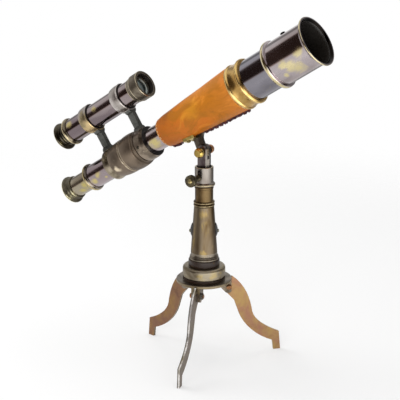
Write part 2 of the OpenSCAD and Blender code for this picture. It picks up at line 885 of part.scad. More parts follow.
module main_eye_lens() {
    color(glass)
        on_main()
            lens(draw_r - draw_wall - seat_fit, eye_lens_edge, eye_lens_t, draw_back + eye_lens_in);
}

// Telescope: finder

module finder_tube() {
    color(bronze)
        on_finder()
            tube(finder_r, finder_r - finder_wall, finder_back, hood_back - seat_fit);
}

// The hood's spigot sits in the tube, and its bore holds the lens
module finder_hood() {
    lens_seat_r = finder_lens_r + seat_fit;
    color(satin_bronze)
        on_finder()
            turned(concat(
                [[hood_bore_r, hood_back - hood_lap], [hood_spigot_r, hood_back - hood_lap]],
                [[hood_spigot_r, hood_back], [finder_r, hood_back]],
                bow([finder_r + edge_r, hood_back + edge_r], [hood_r, hood_back + hood_flare], 0.2),
                [[hood_r, hood_mouth - edge_r], [hood_r - edge_r, hood_mouth]],
                [[lens_seat_r + edge_r, hood_mouth], [lens_seat_r, hood_mouth - edge_r]],
                [[lens_seat_r, finder_lens_seat], [hood_bore_r, finder_lens_seat]]
            ));
}

module finder_lens() {
    color(glass)
        on_finder()
            lens(finder_lens_r, finder_lens_edge, finder_lens_t, finder_lens_low);
}

module finder_lens_ring() {
    color(bronze)
        on_finder()
            tube(finder_lens_r, finder_lens_r - lens_ring_w, finder_lens_ring_low, finder_lens_ring_top);
}

module finder_guide_ring() {
    color(brass)
        on_finder()
            guide_ring(finder_ring_r, finder_ring_back, finder_ring_len, finder_draw_r + run_fit,
                finder_r - finder_wall);
}

module finder_draw_tube() {
    color(bronze)
        on_finder()
            tube(finder_draw_r, finder_draw_r - draw_wall, finder_draw_back + seat_fit, finder_draw_front);
}

module finder_eye_cup() {
    color(satin_bronze)
        on_finder()
            eye_cup(eye_cup_r, finder_cup_back, finder_cup_len, finder_draw_r);
}

module finder_eye_lens() {
    color(glass)
        on_finder()
            lens(finder_draw_r - draw_wall - seat_fit, eye_lens_edge, eye_lens_t,
                finder_draw_back + eye_lens_in);
}

// Telescope: saddle and tongue

// Everything within a distance of the leather's surface between two stations
module round_leather(extra, low, high) {
    reach = [low, min(high, leather_mid_at), high];
    turned(concat([[0, low]], [for (at = reach) [leather_r(at) + extra, at]], [[0, high]]));
}

module saddle() {
    color(brass)
        on_main()
            difference() {
                intersection() {
                    round_leather(seat_fit + saddle_t, -saddle_aft, saddle_fore);
                    translate([leather_back_r - 3, -saddle_w / 2, -saddle_aft])
                        cube([leather_back_r, saddle_w, saddle_aft + saddle_fore]);
                }
                round_leather(seat_fit, -saddle_aft - 1, saddle_fore + 1);
                saddle_screw_holes();
            }
}

module saddle_screws() {
    seat = leather_r(saddle_screw_at + saddle_head_r) + seat_fit + saddle_t;
    color(brass)
        on_main()
            for (turn = [-saddle_screw_turn, saddle_screw_turn])
                rotate([0, 0, turn])
                    translate([seat, 0, saddle_screw_at])
                        rotate([0, 90, 0])
                            slotted_screw(saddle_screw_r, saddle_t + leather_wall + barrel_wall + 1,
                                saddle_head_r, saddle_head_h);
}

module tilt_tongue() {
    root = leather_r(0) - 1;
    flare = 8.6;
    color(satin_bronze)
        on_main()
            difference() {
                translate([0, tongue_t / 2, 0])
                    rotate([90, 0, 0])
                        linear_extrude(tongue_t)
                            union() {
                                translate([bolt_drop, 0])
                                    circle(tongue_r);
                                polygon(concat(
                                    [[root, -0.6 * tongue_r], [bolt_drop - tongue_r, -0.88 * tongue_r]],
                                    [[bolt_drop, -tongue_r], [bolt_drop, tongue_r]],
                                    [[bolt_drop - tongue_r, 0.76 * tongue_r]],
                                    bow([bolt_drop - 1.6 * tongue_r, 0.86 * tongue_r],
                                        [root + 1.8, flare], 0.8),
                                    [[root, flare]]
                                ));
                            }
                round_leather(seat_fit, -flare, flare + 1);
                round_leather(seat_fit + saddle_t, -saddle_aft, saddle_fore + seat_fit);
                translate([bolt_drop, 0, 0])
                    rotate([90, 0, 0])
                        cylinder(r = bolt_r + run_fit, h = tongue_t + 1, center = true);
            }
}

// Stand: fork post and tilt bolt

module fork_post() {
    color(satin_bronze)
        difference() {
            union() {
                translate([0, 0, plug_low])
                    cylinder(r = plug_r, h = plug_top - plug_low);
                translate([0, fork_half, 0])
                    rotate([90, 0, 0])
                        linear_extrude(2 * fork_half)
                            union() {
                                translate([-fork_w / 2, plug_top - 0.5])
                                    square([fork_w, bolt_z + cheek_rise - fork_w / 2 - plug_top + 0.5]);
                                translate([0, bolt_z + cheek_rise - fork_w / 2])
                                    circle(fork_w / 2);
                            }
            }
            translate([-fork_w, -fork_slot / 2, fork_slot_floor])
                cube([2 * fork_w, fork_slot, bolt_z + 2 * cheek_rise - fork_slot_floor]);
            translate([0, 0, bolt_z])
                rotate([90, 0, 0])
                    cylinder(r = bolt_r + seat_fit, h = 2 * fork_half + 1, center = true);
            translate([0, 0, thumb_z])
                rotate([90, 0, 0])
                    cylinder(r = thumb_r + run_fit, h = plug_r + 1);
        }
}

module tilt_bolt() {
    bolt_end = knob_from + knob_len - knob_cap - free_gap;
    head_top = bolt_head_from + bolt_head_len;
    color(copper)
        translate([0, 0, bolt_z])
            rotate([-90, 0, 0])
                turned(concat(
                    [[0, -bolt_end], [bolt_r, -bolt_end], [bolt_r, bolt_head_from]],
                    bow([bolt_head_r - edge_r, bolt_head_from],
                        [bolt_head_r - 2 * edge_r, head_top - edge_r], -edge_r),
                    [[bolt_head_r - 4 * edge_r, head_top], [0, head_top]]
                ));
}

module bolt_washers() {
    color(black) {
        bolt_washer(-fork_half - seat_fit - washer_t, washer_t);
        bolt_washer(fork_half + seat_fit, far_washer_t);
    }
}

// A washer on the tilt bolt that starts at a distance from the middle and is so thick
module bolt_washer(from, thick) {
    translate([0, from + thick, bolt_z])
        rotate([90, 0, 0])
            difference() {
                cylinder(r = washer_r, h = thick);
                translate([0, 0, -1])
                    cylinder(r = bolt_r + seat_fit, h = thick + 2);
            }
}

module tilt_knob() {
    top = knob_from + knob_len;
    neck_r = knob_r - 4 * edge_r;
    color(brass)
        translate([0, 0, bolt_z])
            rotate([90, 0, 0])
                turned(concat(
                    [[bolt_r + run_fit, knob_from], [neck_r, knob_from]],
                    bow([knob_r - 0.9, knob_from + edge_r], [knob_r - 0.9, top - 2 * edge_r], -0.9),
                    [[neck_r, top], [0, top], [0, top - knob_cap], [bolt_r + run_fit, top - knob_cap]]
                ));
}

// Stand: thumb screw

module thumb_screw() {
    head_low = thumb_reach - thumb_head_t;
    cap_floor = thumb_reach - thumb_cap_sunk;
    color(black)
        translate([0, 0, thumb_z])
            rotate([90, 0, 0])
                difference() {
                    turned(concat(
                        [[0, thumb_tip], [thumb_r, thumb_tip], [thumb_r, thumb_boss_from]],
                        [[thumb_boss_r - edge_r, thumb_boss_from], [thumb_boss_r, thumb_boss_from + edge_r]],
                        bow([thumb_boss_r, thumb_boss_from + 1.6], [thumb_boss_r, head_low], 0.7),
                        [[thumb_head_r - 0.5, head_low], [thumb_head_r, head_low + 0.5]],
                        [[thumb_head_r, thumb_reach - 0.5], [thumb_head_r - 0.5, thumb_reach]],
                        [[thumb_cap_r, thumb_reach], [thumb_cap_r, cap_floor], [0, cap_floor]]
                    ));
                    for (i = [0:knurl_count - 1])
                        rotate([0, 0, 360 * i / knurl_count])
                            translate([thumb_head_r, 0, head_low - 0.5])
                                cylinder(r = knurl_r, h = thumb_head_t + 1, $fn = 16);
                }
}

module thumb_cap() {
    low = thumb_reach - thumb_cap_sunk;
    radius = thumb_cap_r - seat_fit;
    color(brass)
        translate([0, 0, thumb_z])
            rotate([90, 0, 0])
                turned(concat(
                    [[0, low], [radius, low]],
                    bow([radius, thumb_reach], [0, thumb_reach + thumb_cap_h], -thumb_cap_h / 4)
                ));
}

// Stand: socket, column and pillar

module socket() {
    slot_to = thumb_slot_low + thumb_slot_len - thumb_slot_w / 2;
    color(satin_bronze)
        difference() {
            union() {
                turned(concat(
                    [[0, column_top], [socket_r - edge_r, column_top]],
                    bow([socket_bead_r - 0.7, column_top + 0.5],
                        [socket_bead_r - 0.7, socket_bead_top - 0.5], -0.7),
                    [[socket_r, socket_bead_top], [socket_r, socket_top - edge_r]],
                    [[socket_r - edge_r, socket_top], [0, socket_top]]
                ));
                translate([0, 0, column_top - tenon_len])
                    cylinder(r = tenon_r, h = tenon_len + socket_bead_len);
            }
            translate([0, 0, socket_floor])
                cylinder(r = socket_bore_r, h = socket_top);
            for (at = [thumb_z, slot_to])
                translate([0, 0, at])
                    rotate([90, 0, 0])
                        cylinder(r = thumb_slot_w / 2, h = socket_r + 1);
            translate([-thumb_slot_w / 2, -socket_r - 1, thumb_z])
                cube([thumb_slot_w, socket_r + 1, slot_to - thumb_z]);
        }
}

module column() {
    groove_r = column_bead_r - 0.9;
    middle = pillar_top + column_bead_len / 2;
    collar_r = column_r + edge_r;
    color(satin_bronze)
        difference() {
            union() {
                turned(concat(
                    [[0, pillar_top], [groove_r, pillar_top]],
                    bow([groove_r + 0.4, pillar_top + edge_r], [groove_r + 0.4, middle - edge_r], -0.5),
                    [[groove_r, middle]],
                    bow([groove_r + 0.4, middle + edge_r], [groove_r + 0.4, column_bead_top - edge_r], -0.5),
                    [[column_r, column_bead_top], [column_r, column_top - 1.8]],
                    [[collar_r, column_top - 1.5], [collar_r, column_top - edge_r]],
                    [[column_r, column_top], [0, column_top]]
                ));
                translate([0, 0, pillar_top - spigot_len])
                    cylinder(r = spigot_r, h = spigot_len + column_bead_len);
            }
            translate([0, 0, column_top - tenon_len - seat_fit])
                cylinder(r = tenon_r + seat_fit, h = tenon_len + 1);
            key_screw_holes();
        }
}

// Runs things from the pillar's axis out through both side keys
module at_keys() {
    for (side = [0, 180])
        rotate([0, 0, key_turn + side])
            children();
}

module key_screw_holes() {
    at_keys()
        translate([key_screw_tip - seat_fit, 0, key_screw_z])
            rotate([0, 90, 0])
                cylinder(r = key_screw_r + seat_fit, h = key_r);
}

// The window in the pillar's wall that a side key sits in, with some space round it
module key_window(space) {
    half_w = key_w / 2 + space;
    at_keys() {
        translate([0, -half_w, key_z - key_half + key_w / 2])
            cube([key_r + 1, 2 * half_w, 2 * key_half - key_w]);
        for (end = [-1, 1])
            translate([0, 0, key_z + end * (key_half - key_w / 2)])
                rotate([0, 90, 0])
                    cylinder(r = half_w, h = key_r + 1);
    }
}

module pillar() {
    foot_top = neck_top + 1.7;
    color(satin_bronze)
        difference() {
            turned(concat(
                [[0, neck_top]],
                bow([pillar_foot_r - edge_r, neck_top], [pillar_foot_r - edge_r, foot_top], -edge_r),
                [[pillar_foot_r - 0.7, foot_top + 0.2], [pillar_foot_r - 0.3, foot_top + 0.6]],
                bow([pillar_foot_r - 0.4, foot_top + 0.9], [pillar_low_r, neck_top + pillar_flare], 0.3),
                [[pillar_top_r, pillar_top], [0, pillar_top]]
            ));
            translate([0, 0, neck_top + pillar_solid])
                cylinder(r = pillar_bore_r, h = pillar_len);
            translate([0, 0, neck_top - 1])
                cylinder(r = centre_bolt_r + seat_fit, h = pillar_flare + 1 + centre_gap);
            key_window(seat_fit);
        }
}

module side_keys() {
    color(black)
        difference() {
            intersection() {
                at_keys()
                    translate([0, key_w, key_z])
                        rotate([90, 0, 0])
                            cylinder(r = key_r, h = 2 * key_w);
                key_window(0);
            }
            translate([0, 0, key_z - 2 * key_half])
                cylinder(r = spigot_r + seat_fit, h = 4 * key_half);
            key_screw_holes();
        }
}

module key_screws() {
    color(satin_bronze)
        at_keys()
            translate([key_r, 0, key_screw_z])
                rotate([0, 90, 0])
                    slotted_screw(key_screw_r, key_r - key_screw_tip, key_head_r, key_head_h);
}

// Stand: base

module neck_ring() {
    color(black)
        difference() {
            turned(concat(
                [[0, drum_top], [neck_r - edge_r, drum_top]],
                bow([neck_r, drum_top + edge_r], [neck_r, neck_top - edge_r], -0.1),
                [[neck_r - edge_r, neck_top], [0, neck_top]]
            ));
            centre_hole();
        }
}

// Clears the centre bolt all the way up from the bracket
module centre_hole() {
    translate([0, 0, bracket_low - 1])
        cylinder(r = centre_bolt_r + seat_fit, h = neck_top - bracket_low + 2);
}

module base_drum() {
    color(satin_bronze)
        difference() {
            turned(concat(
                [[0, spacer_top], [drum_r - drum_lip, spacer_top], [drum_r, spacer_top + drum_lip]],
                bow([drum_r, drum_top - drum_round], [drum_r - drum_round, drum_top], -0.3 * drum_round),
                [[0, drum_top]]
            ));
            centre_hole();
        }
}

module spacer_ring() {
    color(black)
        difference() {
            translate([0, 0, bracket_z])
                cylinder(r = spacer_r, h = spacer_t);
            centre_hole();
        }
}

// Puts things on each leg's plane, with local +X outwards
module at_legs() {
    for (turn = [right_turn, rear_turn, front_turn])
        rotate([0, 0, turn])
            children();
}

// Outline of one ear below the plate, as [distance from the pillar's axis, height]
module ear_outline() {
    out = bracket_r - 0.2;
    top = bracket_low + 0.2;
    polygon(concat(
        [[out, top], [ear_in, top], [ear_in, pin_z + 0.6]],
        [[ear_in + 0.8, pin_z - 0.9], [pin_out - 2.6, ear_low + 0.8]],
        bow([pin_out - 1.6, ear_low + 0.2], [out, ear_low + 1.1], -0.5)
    ));
}

module leg_bracket() {
    rim_low = bracket_low + edge_r;
    rim_high = bracket_z - edge_r;
    color(satin_bronze)
        difference() {
            union() {
                turned([[0, bracket_low], [bracket_r - edge_r, bracket_low], [bracket_r, rim_low],
                    [bracket_r, rim_high], [bracket_r - edge_r, bracket_z], [0, bracket_z]]);
                at_legs()
                    for (side = [0, 1])
                        translate([0, ear_half - side * (ear_t + ear_gap), 0])
                            rotate([90, 0, 0])
                                linear_extrude(ear_t)
                                    ear_outline();
            }
            centre_hole();
            at_legs()
                translate([pin_out, 0, pin_z])
                    rotate([90, 0, 0])
                        cylinder(r = pin_r + seat_fit, h = 2 * ear_half + 1, center = true);
        }
}

module centre_bolt() {
    head_low = bracket_low - centre_head_h;
    color(satin_bronze)
        difference() {
            union() {
                translate([0, 0, head_low])
                    cylinder(r = centre_head_r, h = centre_head_h);
                translate([0, 0, head_low])
                    cylinder(r = centre_bolt_r, h = centre_bolt_top - head_low);
            }
            translate([-centre_head_r, -centre_slot / 2, head_low - centre_slot])
                cube([2 * centre_head_r, centre_slot, 2 * centre_slot]);
        }
}

// Stand: legs

// Outline of a leg as [distance from the pillar's axis, height], an S-curve from the pin to the foot
module leg_outline() {
    knee = [knee_out, pin_z - knee_down];
    inner_knee = [knee_out - knee_w, knee.y + 0.5];
    hip = inner_knee + knee_w * [-0.3, 0.87];
    foot_in = foot_reach - foot_len;
    foot_top = [foot_reach - 1.4, foot_h];
    instep = [foot_in - 1, foot_h * 0.53];
    shoulder = pin_z + leg_end_r + 0.6;
    polygon(concat(
        curve([nose_in + 0.9, nose_top], [knee.x - 0.51 * knee_w, pin_z - 0.3],
            knee + knee_w * [-0.15, 0.97], knee),
        curve(knee, knee + knee_w * [0.16, -0.69], foot_top + knee_w * [-0.965, 0.43], foot_top),
        [[foot_reach, 0], [foot_in, 0]],
        curve(instep, instep + knee_w * [-1.17, 0.425], inner_knee + knee_w * [0.33, -1.01], inner_knee),
        curve(inner_knee, inner_knee + knee_w * [-0.11, 0.34], hip + knee_w * [0.07, -0.23], hip),
        bow(hip + [-0.5, 0.7], [pin_out - 3, pin_z - leg_end_r + 0.7], -0.2),
        bow([pin_out - 3.4, pin_z - leg_end_r + 1.3], [pin_out - 0.6, pin_z + leg_end_r], leg_head_bow),
        [[nose_in - 0.6, shoulder], [nose_in, shoulder + 0.5]],
        [[nose_in, nose_top - 0.5], [nose_in + 0.4, nose_top]]
    ));
}

module leg(turn) {
    rotate([0, 0, turn])
        translate([0, leg_t / 2, 0])
            rotate([90, 0, 0])
                linear_extrude(leg_t)
                    difference() {
                        leg_outline();
                        translate([pin_out, pin_z])
                            circle(pin_r + run_fit);
                    }
}

module right_leg() {
    color(leg_brass)
        leg(right_turn);
}

module rear_leg() {
    color(leg_brass)
        leg(rear_turn);
}

module front_leg() {
    color(leg_brass)
        leg(front_turn);
}

module leg_pins() {
    color(copper)
        at_legs()
            translate([pin_out, -ear_half - seat_fit, pin_z])
                rotate([90, 0, 0])
                    slotted_screw(pin_r, 2 * ear_half + nut_h + pin_end, pin_head_r, pin_head_h);
}

module pin_nuts() {
    color(satin_bronze)
        at_legs()
            translate([pin_out, ear_half + seat_fit, pin_z])
                rotate([-90, 0, 0])
                    difference() {
                        cylinder(r = nut_r, h = nut_h, $fn = 6);
                        translate([0, 0, -1])
                            cylinder(r = pin_r + seat_fit, h = nut_h + 2);
                    }
}

objective_lens();
lens_cell();
lens_ring();
objective_tube();
sunshade();
guide_screw();
ferrule();
main_barrel();
leather_sleeve();
rear_tube();
turned_body();
collar_screws();
front_link();
rear_link();
main_guide_ring();
main_draw_tube();
main_eye_cup();
main_eye_lens();
finder_tube();
finder_hood();
finder_lens();
finder_lens_ring();
finder_guide_ring();
finder_draw_tube();
finder_eye_cup();
finder_eye_lens();
saddle();
saddle_screws();
tilt_tongue();
fork_post();
tilt_bolt();
bolt_washers();
tilt_knob();
thumb_screw();
thumb_cap();
socket();
column();
pillar();
side_keys();
key_screws();
neck_ring();
base_drum();
spacer_ring();
leg_bracket();
centre_bolt();
right_leg();
rear_leg();
front_leg();
leg_pins();
pin_nuts();
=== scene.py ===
"""Looks of a small double-barrelled desk telescope on a folding tripod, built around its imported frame."""

import json
import math

import bpy
import numpy as np
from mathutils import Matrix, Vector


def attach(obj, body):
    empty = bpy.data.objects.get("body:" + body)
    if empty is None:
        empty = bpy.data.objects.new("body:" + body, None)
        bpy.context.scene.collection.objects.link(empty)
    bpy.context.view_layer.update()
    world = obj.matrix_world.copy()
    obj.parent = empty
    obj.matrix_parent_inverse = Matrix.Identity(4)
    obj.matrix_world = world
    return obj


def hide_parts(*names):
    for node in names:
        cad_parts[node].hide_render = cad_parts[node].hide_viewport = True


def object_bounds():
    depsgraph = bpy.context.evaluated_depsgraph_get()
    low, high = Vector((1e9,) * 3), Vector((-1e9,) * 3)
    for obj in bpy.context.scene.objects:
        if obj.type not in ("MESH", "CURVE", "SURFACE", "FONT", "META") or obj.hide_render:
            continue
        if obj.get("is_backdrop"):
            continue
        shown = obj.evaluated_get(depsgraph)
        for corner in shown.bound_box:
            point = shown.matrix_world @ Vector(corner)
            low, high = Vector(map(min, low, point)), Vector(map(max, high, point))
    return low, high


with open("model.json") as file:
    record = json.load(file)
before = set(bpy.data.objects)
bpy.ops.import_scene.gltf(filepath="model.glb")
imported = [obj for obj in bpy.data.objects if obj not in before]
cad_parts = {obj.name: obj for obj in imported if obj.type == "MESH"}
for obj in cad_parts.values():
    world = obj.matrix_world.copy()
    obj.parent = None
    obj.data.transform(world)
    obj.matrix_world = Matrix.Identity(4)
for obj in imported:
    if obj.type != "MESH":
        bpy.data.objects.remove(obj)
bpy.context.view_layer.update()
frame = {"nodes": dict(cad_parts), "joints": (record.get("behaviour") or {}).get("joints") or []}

# Camera.
# It stands to the right of the telescope and a little above it, and looks at the pillar's axis.

camera_data = bpy.data.cameras.new("view")
camera_data.lens = 104.24
camera_data.sensor_width = 36.0
camera_data.clip_start = 0.01
camera = bpy.data.objects.new("view", camera_data)
camera.location = (0.4486, -0.7219, 0.3812)
camera.rotation_euler = (math.radians(73.48), 0.0, math.radians(32.07))
bpy.context.scene.collection.objects.link(camera)
bpy.context.scene.camera = camera
bpy.context.scene.view_settings.view_transform = "Standard"


# Studio.
# A white table and sweep, a white ceiling, a soft box to the right in front, and a dark room round the
# camera. A dark gap stands to the right and a grey card behind the object. Polished tubes show all of
# these as bright and dark bands along their length.


class Signal:
    """One output of a shader node. Arithmetic on it adds Math nodes to the tree that it belongs to."""

    def __init__(self, tree, socket):
        self.tree = tree
        self.socket = socket

    def _with(self, operation, first, second):
        return self.tree.add("ShaderNodeMath", {"operation": operation}, {0: first, 1: second})

    def __add__(self, other):
        return self._with("ADD", self, other)

    def __sub__(self, other):
        return self._with("SUBTRACT", self, other)

    def __rsub__(self, other):
        return self._with("SUBTRACT", other, self)

    def __mul__(self, other):
        return self._with("MULTIPLY", self, other)

    __radd__ = __add__
    __rmul__ = __mul__


class Tree:
    """A shader's node tree, with one way to put a node in it."""

    def __init__(self, nodes_of):
        nodes_of.use_nodes = True
        self.nodes = nodes_of.node_tree.nodes
        self.links = nodes_of.node_tree.links
        self.nodes.clear()

    def add(self, kind, settings=None, inputs=None, out=0):
        """Adds a node: its settings first, then its inputs' values or links."""
        node = self.nodes.new(kind)
        for key, value in (settings or {}).items():
            setattr(node, key, value)
        for key, value in (inputs or {}).items():
            if isinstance(value, Signal):
                self.links.new(value.socket, node.inputs[key])
            else:
                node.inputs[key].default_value = value
        return Signal(self, node.outputs[out]) if node.outputs else node

    def smooth(self, value, low, high):
        """0 below low and 1 above high, with a smooth step between them. Swapped ends swap the result."""
        return self.add(
            "ShaderNodeMapRange",
            {"interpolation_type": "SMOOTHSTEP"},
            {"Value": value, "From Min": low, "From Max": high},
        )

    def band(self, value, low, high, soft):
        """1 from low to high and 0 outside them, with a smooth step twice as wide as soft at each end."""
        return self.smooth(value, low - soft, low + soft) * self.smooth(value, high + soft, high - soft)

    def most(self, first, second):
        return self.add("ShaderNodeMath", {"operation": "MAXIMUM"}, {0: first, 1: second})

    def size(self, value):
        return self.add("ShaderNodeMath", {"operation": "ABSOLUTE"}, {0: value})

    def dot(self, vector, direction):
        return self.add(
            "ShaderNodeVectorMath", {"operation": "DOT_PRODUCT"}, {0: vector, 1: direction}, out="Value"
        )

    def mix(self, factor, first, second):
        """The first colour where factor is 0 and the second where it is 1."""
        return self.add("ShaderNodeMix", {"data_type": "RGBA"}, {0: factor, 6: first, 7: second}, out=2)


def tint(code):
    """A colour from six hexadecimal digits, as red, green, blue and alpha on a linear scale."""
    parts = np.array([int(code[i : i + 2], 16) for i in (0, 2, 4)]) / 255
    linear = np.where(parts <= 0.04045, parts / 12.92, ((parts + 0.055) / 1.055) ** 2.4)
    return (*linear.tolist(), 1.0)


white = (1.0, 1.0, 1.0, 1.0)
dark_tint = (1.0, 0.6, 0.48, 1.0)
to_camera = (0.5278, -0.8494, 0.0)
to_left = (-0.8494, -0.5278, 0.0)
to_right_front = (0.83, -0.56, 0.0)
into_dark_room = (2.0, -0.75, 1.0)
ambient = 0.62
darkness = 0.955
gap_darkness = 0.7
card_darkness = 0.6
soft_box_power = 2.6

world = bpy.data.worlds.new("studio")
bpy.context.scene.world = world
room = Tree(world)
look = room.add("ShaderNodeTexCoord", out="Generated")
height = room.dot(look, (0.0, 0.0, 1.0))
facing = room.dot(look, to_camera)
leftward = room.dot(look, to_left)
under_ceiling = 1.0 - room.smooth(height, 0.62, 0.74)
above_table = 1.0 - room.smooth(height, -0.16, -0.3)
dark_room = room.smooth(facing, -0.42, -0.3) * room.smooth(room.dot(look, into_dark_room), -1.225, -1.105)
dark_room = dark_room * under_ceiling * above_table
right_gap = room.smooth(leftward, -0.62, -0.72) * room.smooth(leftward, -0.97, -0.9) * under_ceiling
rear_card = room.smooth(facing, -0.94, -0.88) * room.smooth(facing, -0.64, -0.74)
soft_box = room.smooth(room.dot(look, to_right_front), 0.2, 0.95) * room.smooth(height, 0.25, 0.05)
shown = (1.0 - dark_room * darkness) * (1.0 - right_gap * gap_darkness)
shown = shown * (1.0 - rear_card * card_darkness) + soft_box * soft_box_power
is_glossy = room.add("ShaderNodeLightPath", out="Is Glossy Ray")
is_camera = room.add("ShaderNodeLightPath", out="Is Camera Ray")
strength = ambient + is_glossy * (shown - ambient)
strength = strength + is_camera * (1.0 - strength)
tinted = dark_room * is_glossy * room.smooth(soft_box, 0.1, 0.0)
backdrop = room.add(
    "ShaderNodeBackground", inputs={"Color": room.mix(tinted, white, dark_tint), "Strength": strength}
)
room.add("ShaderNodeOutputWorld", inputs={"Surface": backdrop})


def panel_lamp(name, place, target, size, power):
    """A square soft box that shines from place towards target, and isn't seen in reflections."""
    data = bpy.data.lights.new(name, "AREA")
    data.shape = "SQUARE"
    data.size = size
    data.energy = power
    lamp = bpy.data.objects.new(name, data)
    lamp.location = place
    aim = np.array(target) - np.array(place)
    lamp.rotation_euler = (
        math.acos(-aim[2] / np.linalg.norm(aim)),
        0.0,
        math.atan2(aim[1], aim[0]) - math.pi / 2,
    )
    lamp.visible_glossy = False
    bpy.context.scene.collection.objects.link(lamp)


panel_lamp("overhead_box", (-0.1, 0.1, 1.2), (0.0, 0.0, 0.1), 0.9, 4.5)
panel_lamp("left_box", (-0.9, 0.0, 0.75), (0.0, 0.0, 0.15), 0.6, 5.0)
panel_lamp("front_box", (0.3, -1.1, 0.5), (0.0, 0.0, 0.15), 0.6, 6.0)

table_r = 0.8
direct_glow = 0.4
glossy_glow = 0.35
direct_fade = (0.3, 0.75)
glossy_fade = (0.17, 0.3)
table_rings = np.linspace(0.0, table_r, 41)[1:]
table_turns = np.linspace(0.0, 2.0 * math.pi, 97)[:-1]
table_grid = np.stack(
    [
        np.outer(table_rings, np.cos(table_turns)),
        np.outer(table_rings, np.sin(table_turns)),
        np.zeros((len(table_rings), len(table_turns))),
    ],
    axis=-1,
).reshape(-1, 3)
table_points = np.vstack([table_grid, [[0.0, 0.0, 0.0]]])


def ring_faces(rings, turns, close_rings=False):
    """Quads of a grid that closes on itself round its turns, and along its rings if asked."""
    last = rings if close_rings else rings - 1
    ring, turn = np.meshgrid(np.arange(last), np.arange(turns), indexing="ij")
    above = (ring + 1) % rings
    beside = (turn + 1) % turns
    quads = [ring * turns + turn, above * turns + turn, above * turns + beside, ring * turns + beside]
    return np.stack(quads, axis=-1).reshape(-1, 4)


table_faces = ring_faces(len(table_rings), len(table_turns)).tolist()
hub = len(table_points) - 1
table_faces += [[hub, i, (i + 1) % len(table_turns)] for i in range(len(table_turns))]
table_mesh = bpy.data.meshes.new("table")
table_mesh.from_pydata(table_points.tolist(), [], table_faces)
table = bpy.data.objects.new("table", table_mesh)
bpy.context.scene.collection.objects.link(table)
table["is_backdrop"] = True

table_material = bpy.data.materials.new("white_table")
top = Tree(table_material)
spot_on_table = top.add("ShaderNodeTexCoord", out="Object")
reach = top.add("ShaderNodeVectorMath", {"operation": "LENGTH"}, {0: spot_on_table}, out="Value")
paint = top.add("ShaderNodeBsdfDiffuse", inputs={"Color": (0.8, 0.8, 0.8, 1.0)})
glow = top.add("ShaderNodeEmission", inputs={"Color": white, "Strength": 1.0})
seen_direct = top.add("ShaderNodeLightPath", out="Is Camera Ray")
seen_glossy = top.add("ShaderNodeLightPath", out="Is Glossy Ray")
glow_share = seen_direct * direct_glow + seen_glossy * glossy_glow
lit = top.add("ShaderNodeMixShader", inputs={0: glow_share, 1: paint, 2: glow})
gone = top.add("ShaderNodeBsdfTransparent", inputs={"Color": white})
edge = seen_direct * top.smooth(reach, *direct_fade) + seen_glossy * top.smooth(reach, *glossy_fade)
faded = top.add("ShaderNodeMixShader", inputs={0: edge, 1: lit, 2: gone})
top.add("ShaderNodeOutputMaterial", inputs={"Surface": faded})
table_mesh.materials.append(table_material)


# Legs.
# Three S-shaped legs stamped from 2 mm brass, each folding on a pin between two ears of the bracket.
# Their flat sides have a coppery tone with golden clouds, and their cut edges are bare grey metal with
# painted shade along one side. The front leg's greyer, darker flat sides are painted shade, and its
# near-white cut edge is a painted highlight.


class Finish(Tree):
    """A material with one glossy shader, whose colours and bumps are given in millimetres on the object."""

    def __init__(self, name):
        self.material = bpy.data.materials.new(name)
        super().__init__(self.material)
        self.place = self.add("ShaderNodeTexCoord", out="Object")

    def noise(self, size, detail=3.0, rough=0.55, stretch=(1, 1, 1), turn=(0, 0, 0), warp=0.0, shift=0.0):
        """Cloudy noise whose blots are about size mm across, stretched along the turned axes."""
        spot = self.add(
            "ShaderNodeMapping",
            {"vector_type": "TEXTURE"},
            {"Vector": self.place, "Rotation": turn, "Scale": stretch, "Location": (shift, shift, shift)},
        )
        inputs = {"Vector": spot, "Scale": 500.0 / size, "Detail": detail}
        inputs.update({"Roughness": rough, "Distortion": warp})
        return self.add("ShaderNodeTexNoise", None, inputs)

    def patch(self, point, size, warp, sway=4.5):
        """1 round a point and 0 further than size mm away. Its edge wanders by sway times the size."""
        away = self.add(
            "ShaderNodeVectorMath", {"operation": "DISTANCE"}, {0: self.place, 1: tuple(point)}, out="Value"
        )
        return self.smooth(away * 1000.0 + (warp - 0.5) * (size * sway), size, size * 0.2)

    def from_point(self, point):
        return self.add("ShaderNodeVectorMath", {"operation": "SUBTRACT"}, {0: self.place, 1: tuple(point)})

    def about(self, point, axis):
        """Station along an axis and distance from it, in mm."""
        inner = self.from_point(point)
        station = self.dot(inner, tuple(axis))
        along = self.add("ShaderNodeVectorMath", {"operation": "SCALE"}, {0: tuple(axis), "Scale": station})
        across = self.add("ShaderNodeVectorMath", {"operation": "SUBTRACT"}, {0: inner, 1: along})
        radius = self.add("ShaderNodeVectorMath", {"operation": "LENGTH"}, {0: across}, out="Value")
        return station * 1000.0, radius * 1000.0

    def bump(self, height, depth, under=None):
        """A normal that rises by depth mm where height goes from 0 to 1, on top of another bump."""
        inputs = {"Height": height, "Distance": depth / 1000.0, "Strength": 1.0}
        if under is not None:
            inputs["Normal"] = under
        return self.add("ShaderNodeBump", None, inputs)

    def finish(self, colour, roughness, normal=None, metallic=1.0, **more):
        """Ends the tree with its shader. Further values go to the shader's sockets by name."""
        inputs = {"Base Color": colour, "Roughness": roughness, "Metallic": metallic}
        if normal is not None:
            inputs["Normal"] = normal
        inputs.update({key.replace("_", " "): value for key, value in more.items()})
        shader = self.add("ShaderNodeBsdfPrincipled", None, inputs)
        self.add("ShaderNodeOutputMaterial", inputs={"Surface": shader})
        return self.material


def dress(material, *names):
    """Gives frame nodes a material."""
    for name in names:
        slots = frame["nodes"][name].data.materials
        slots.clear()
        slots.append(material)


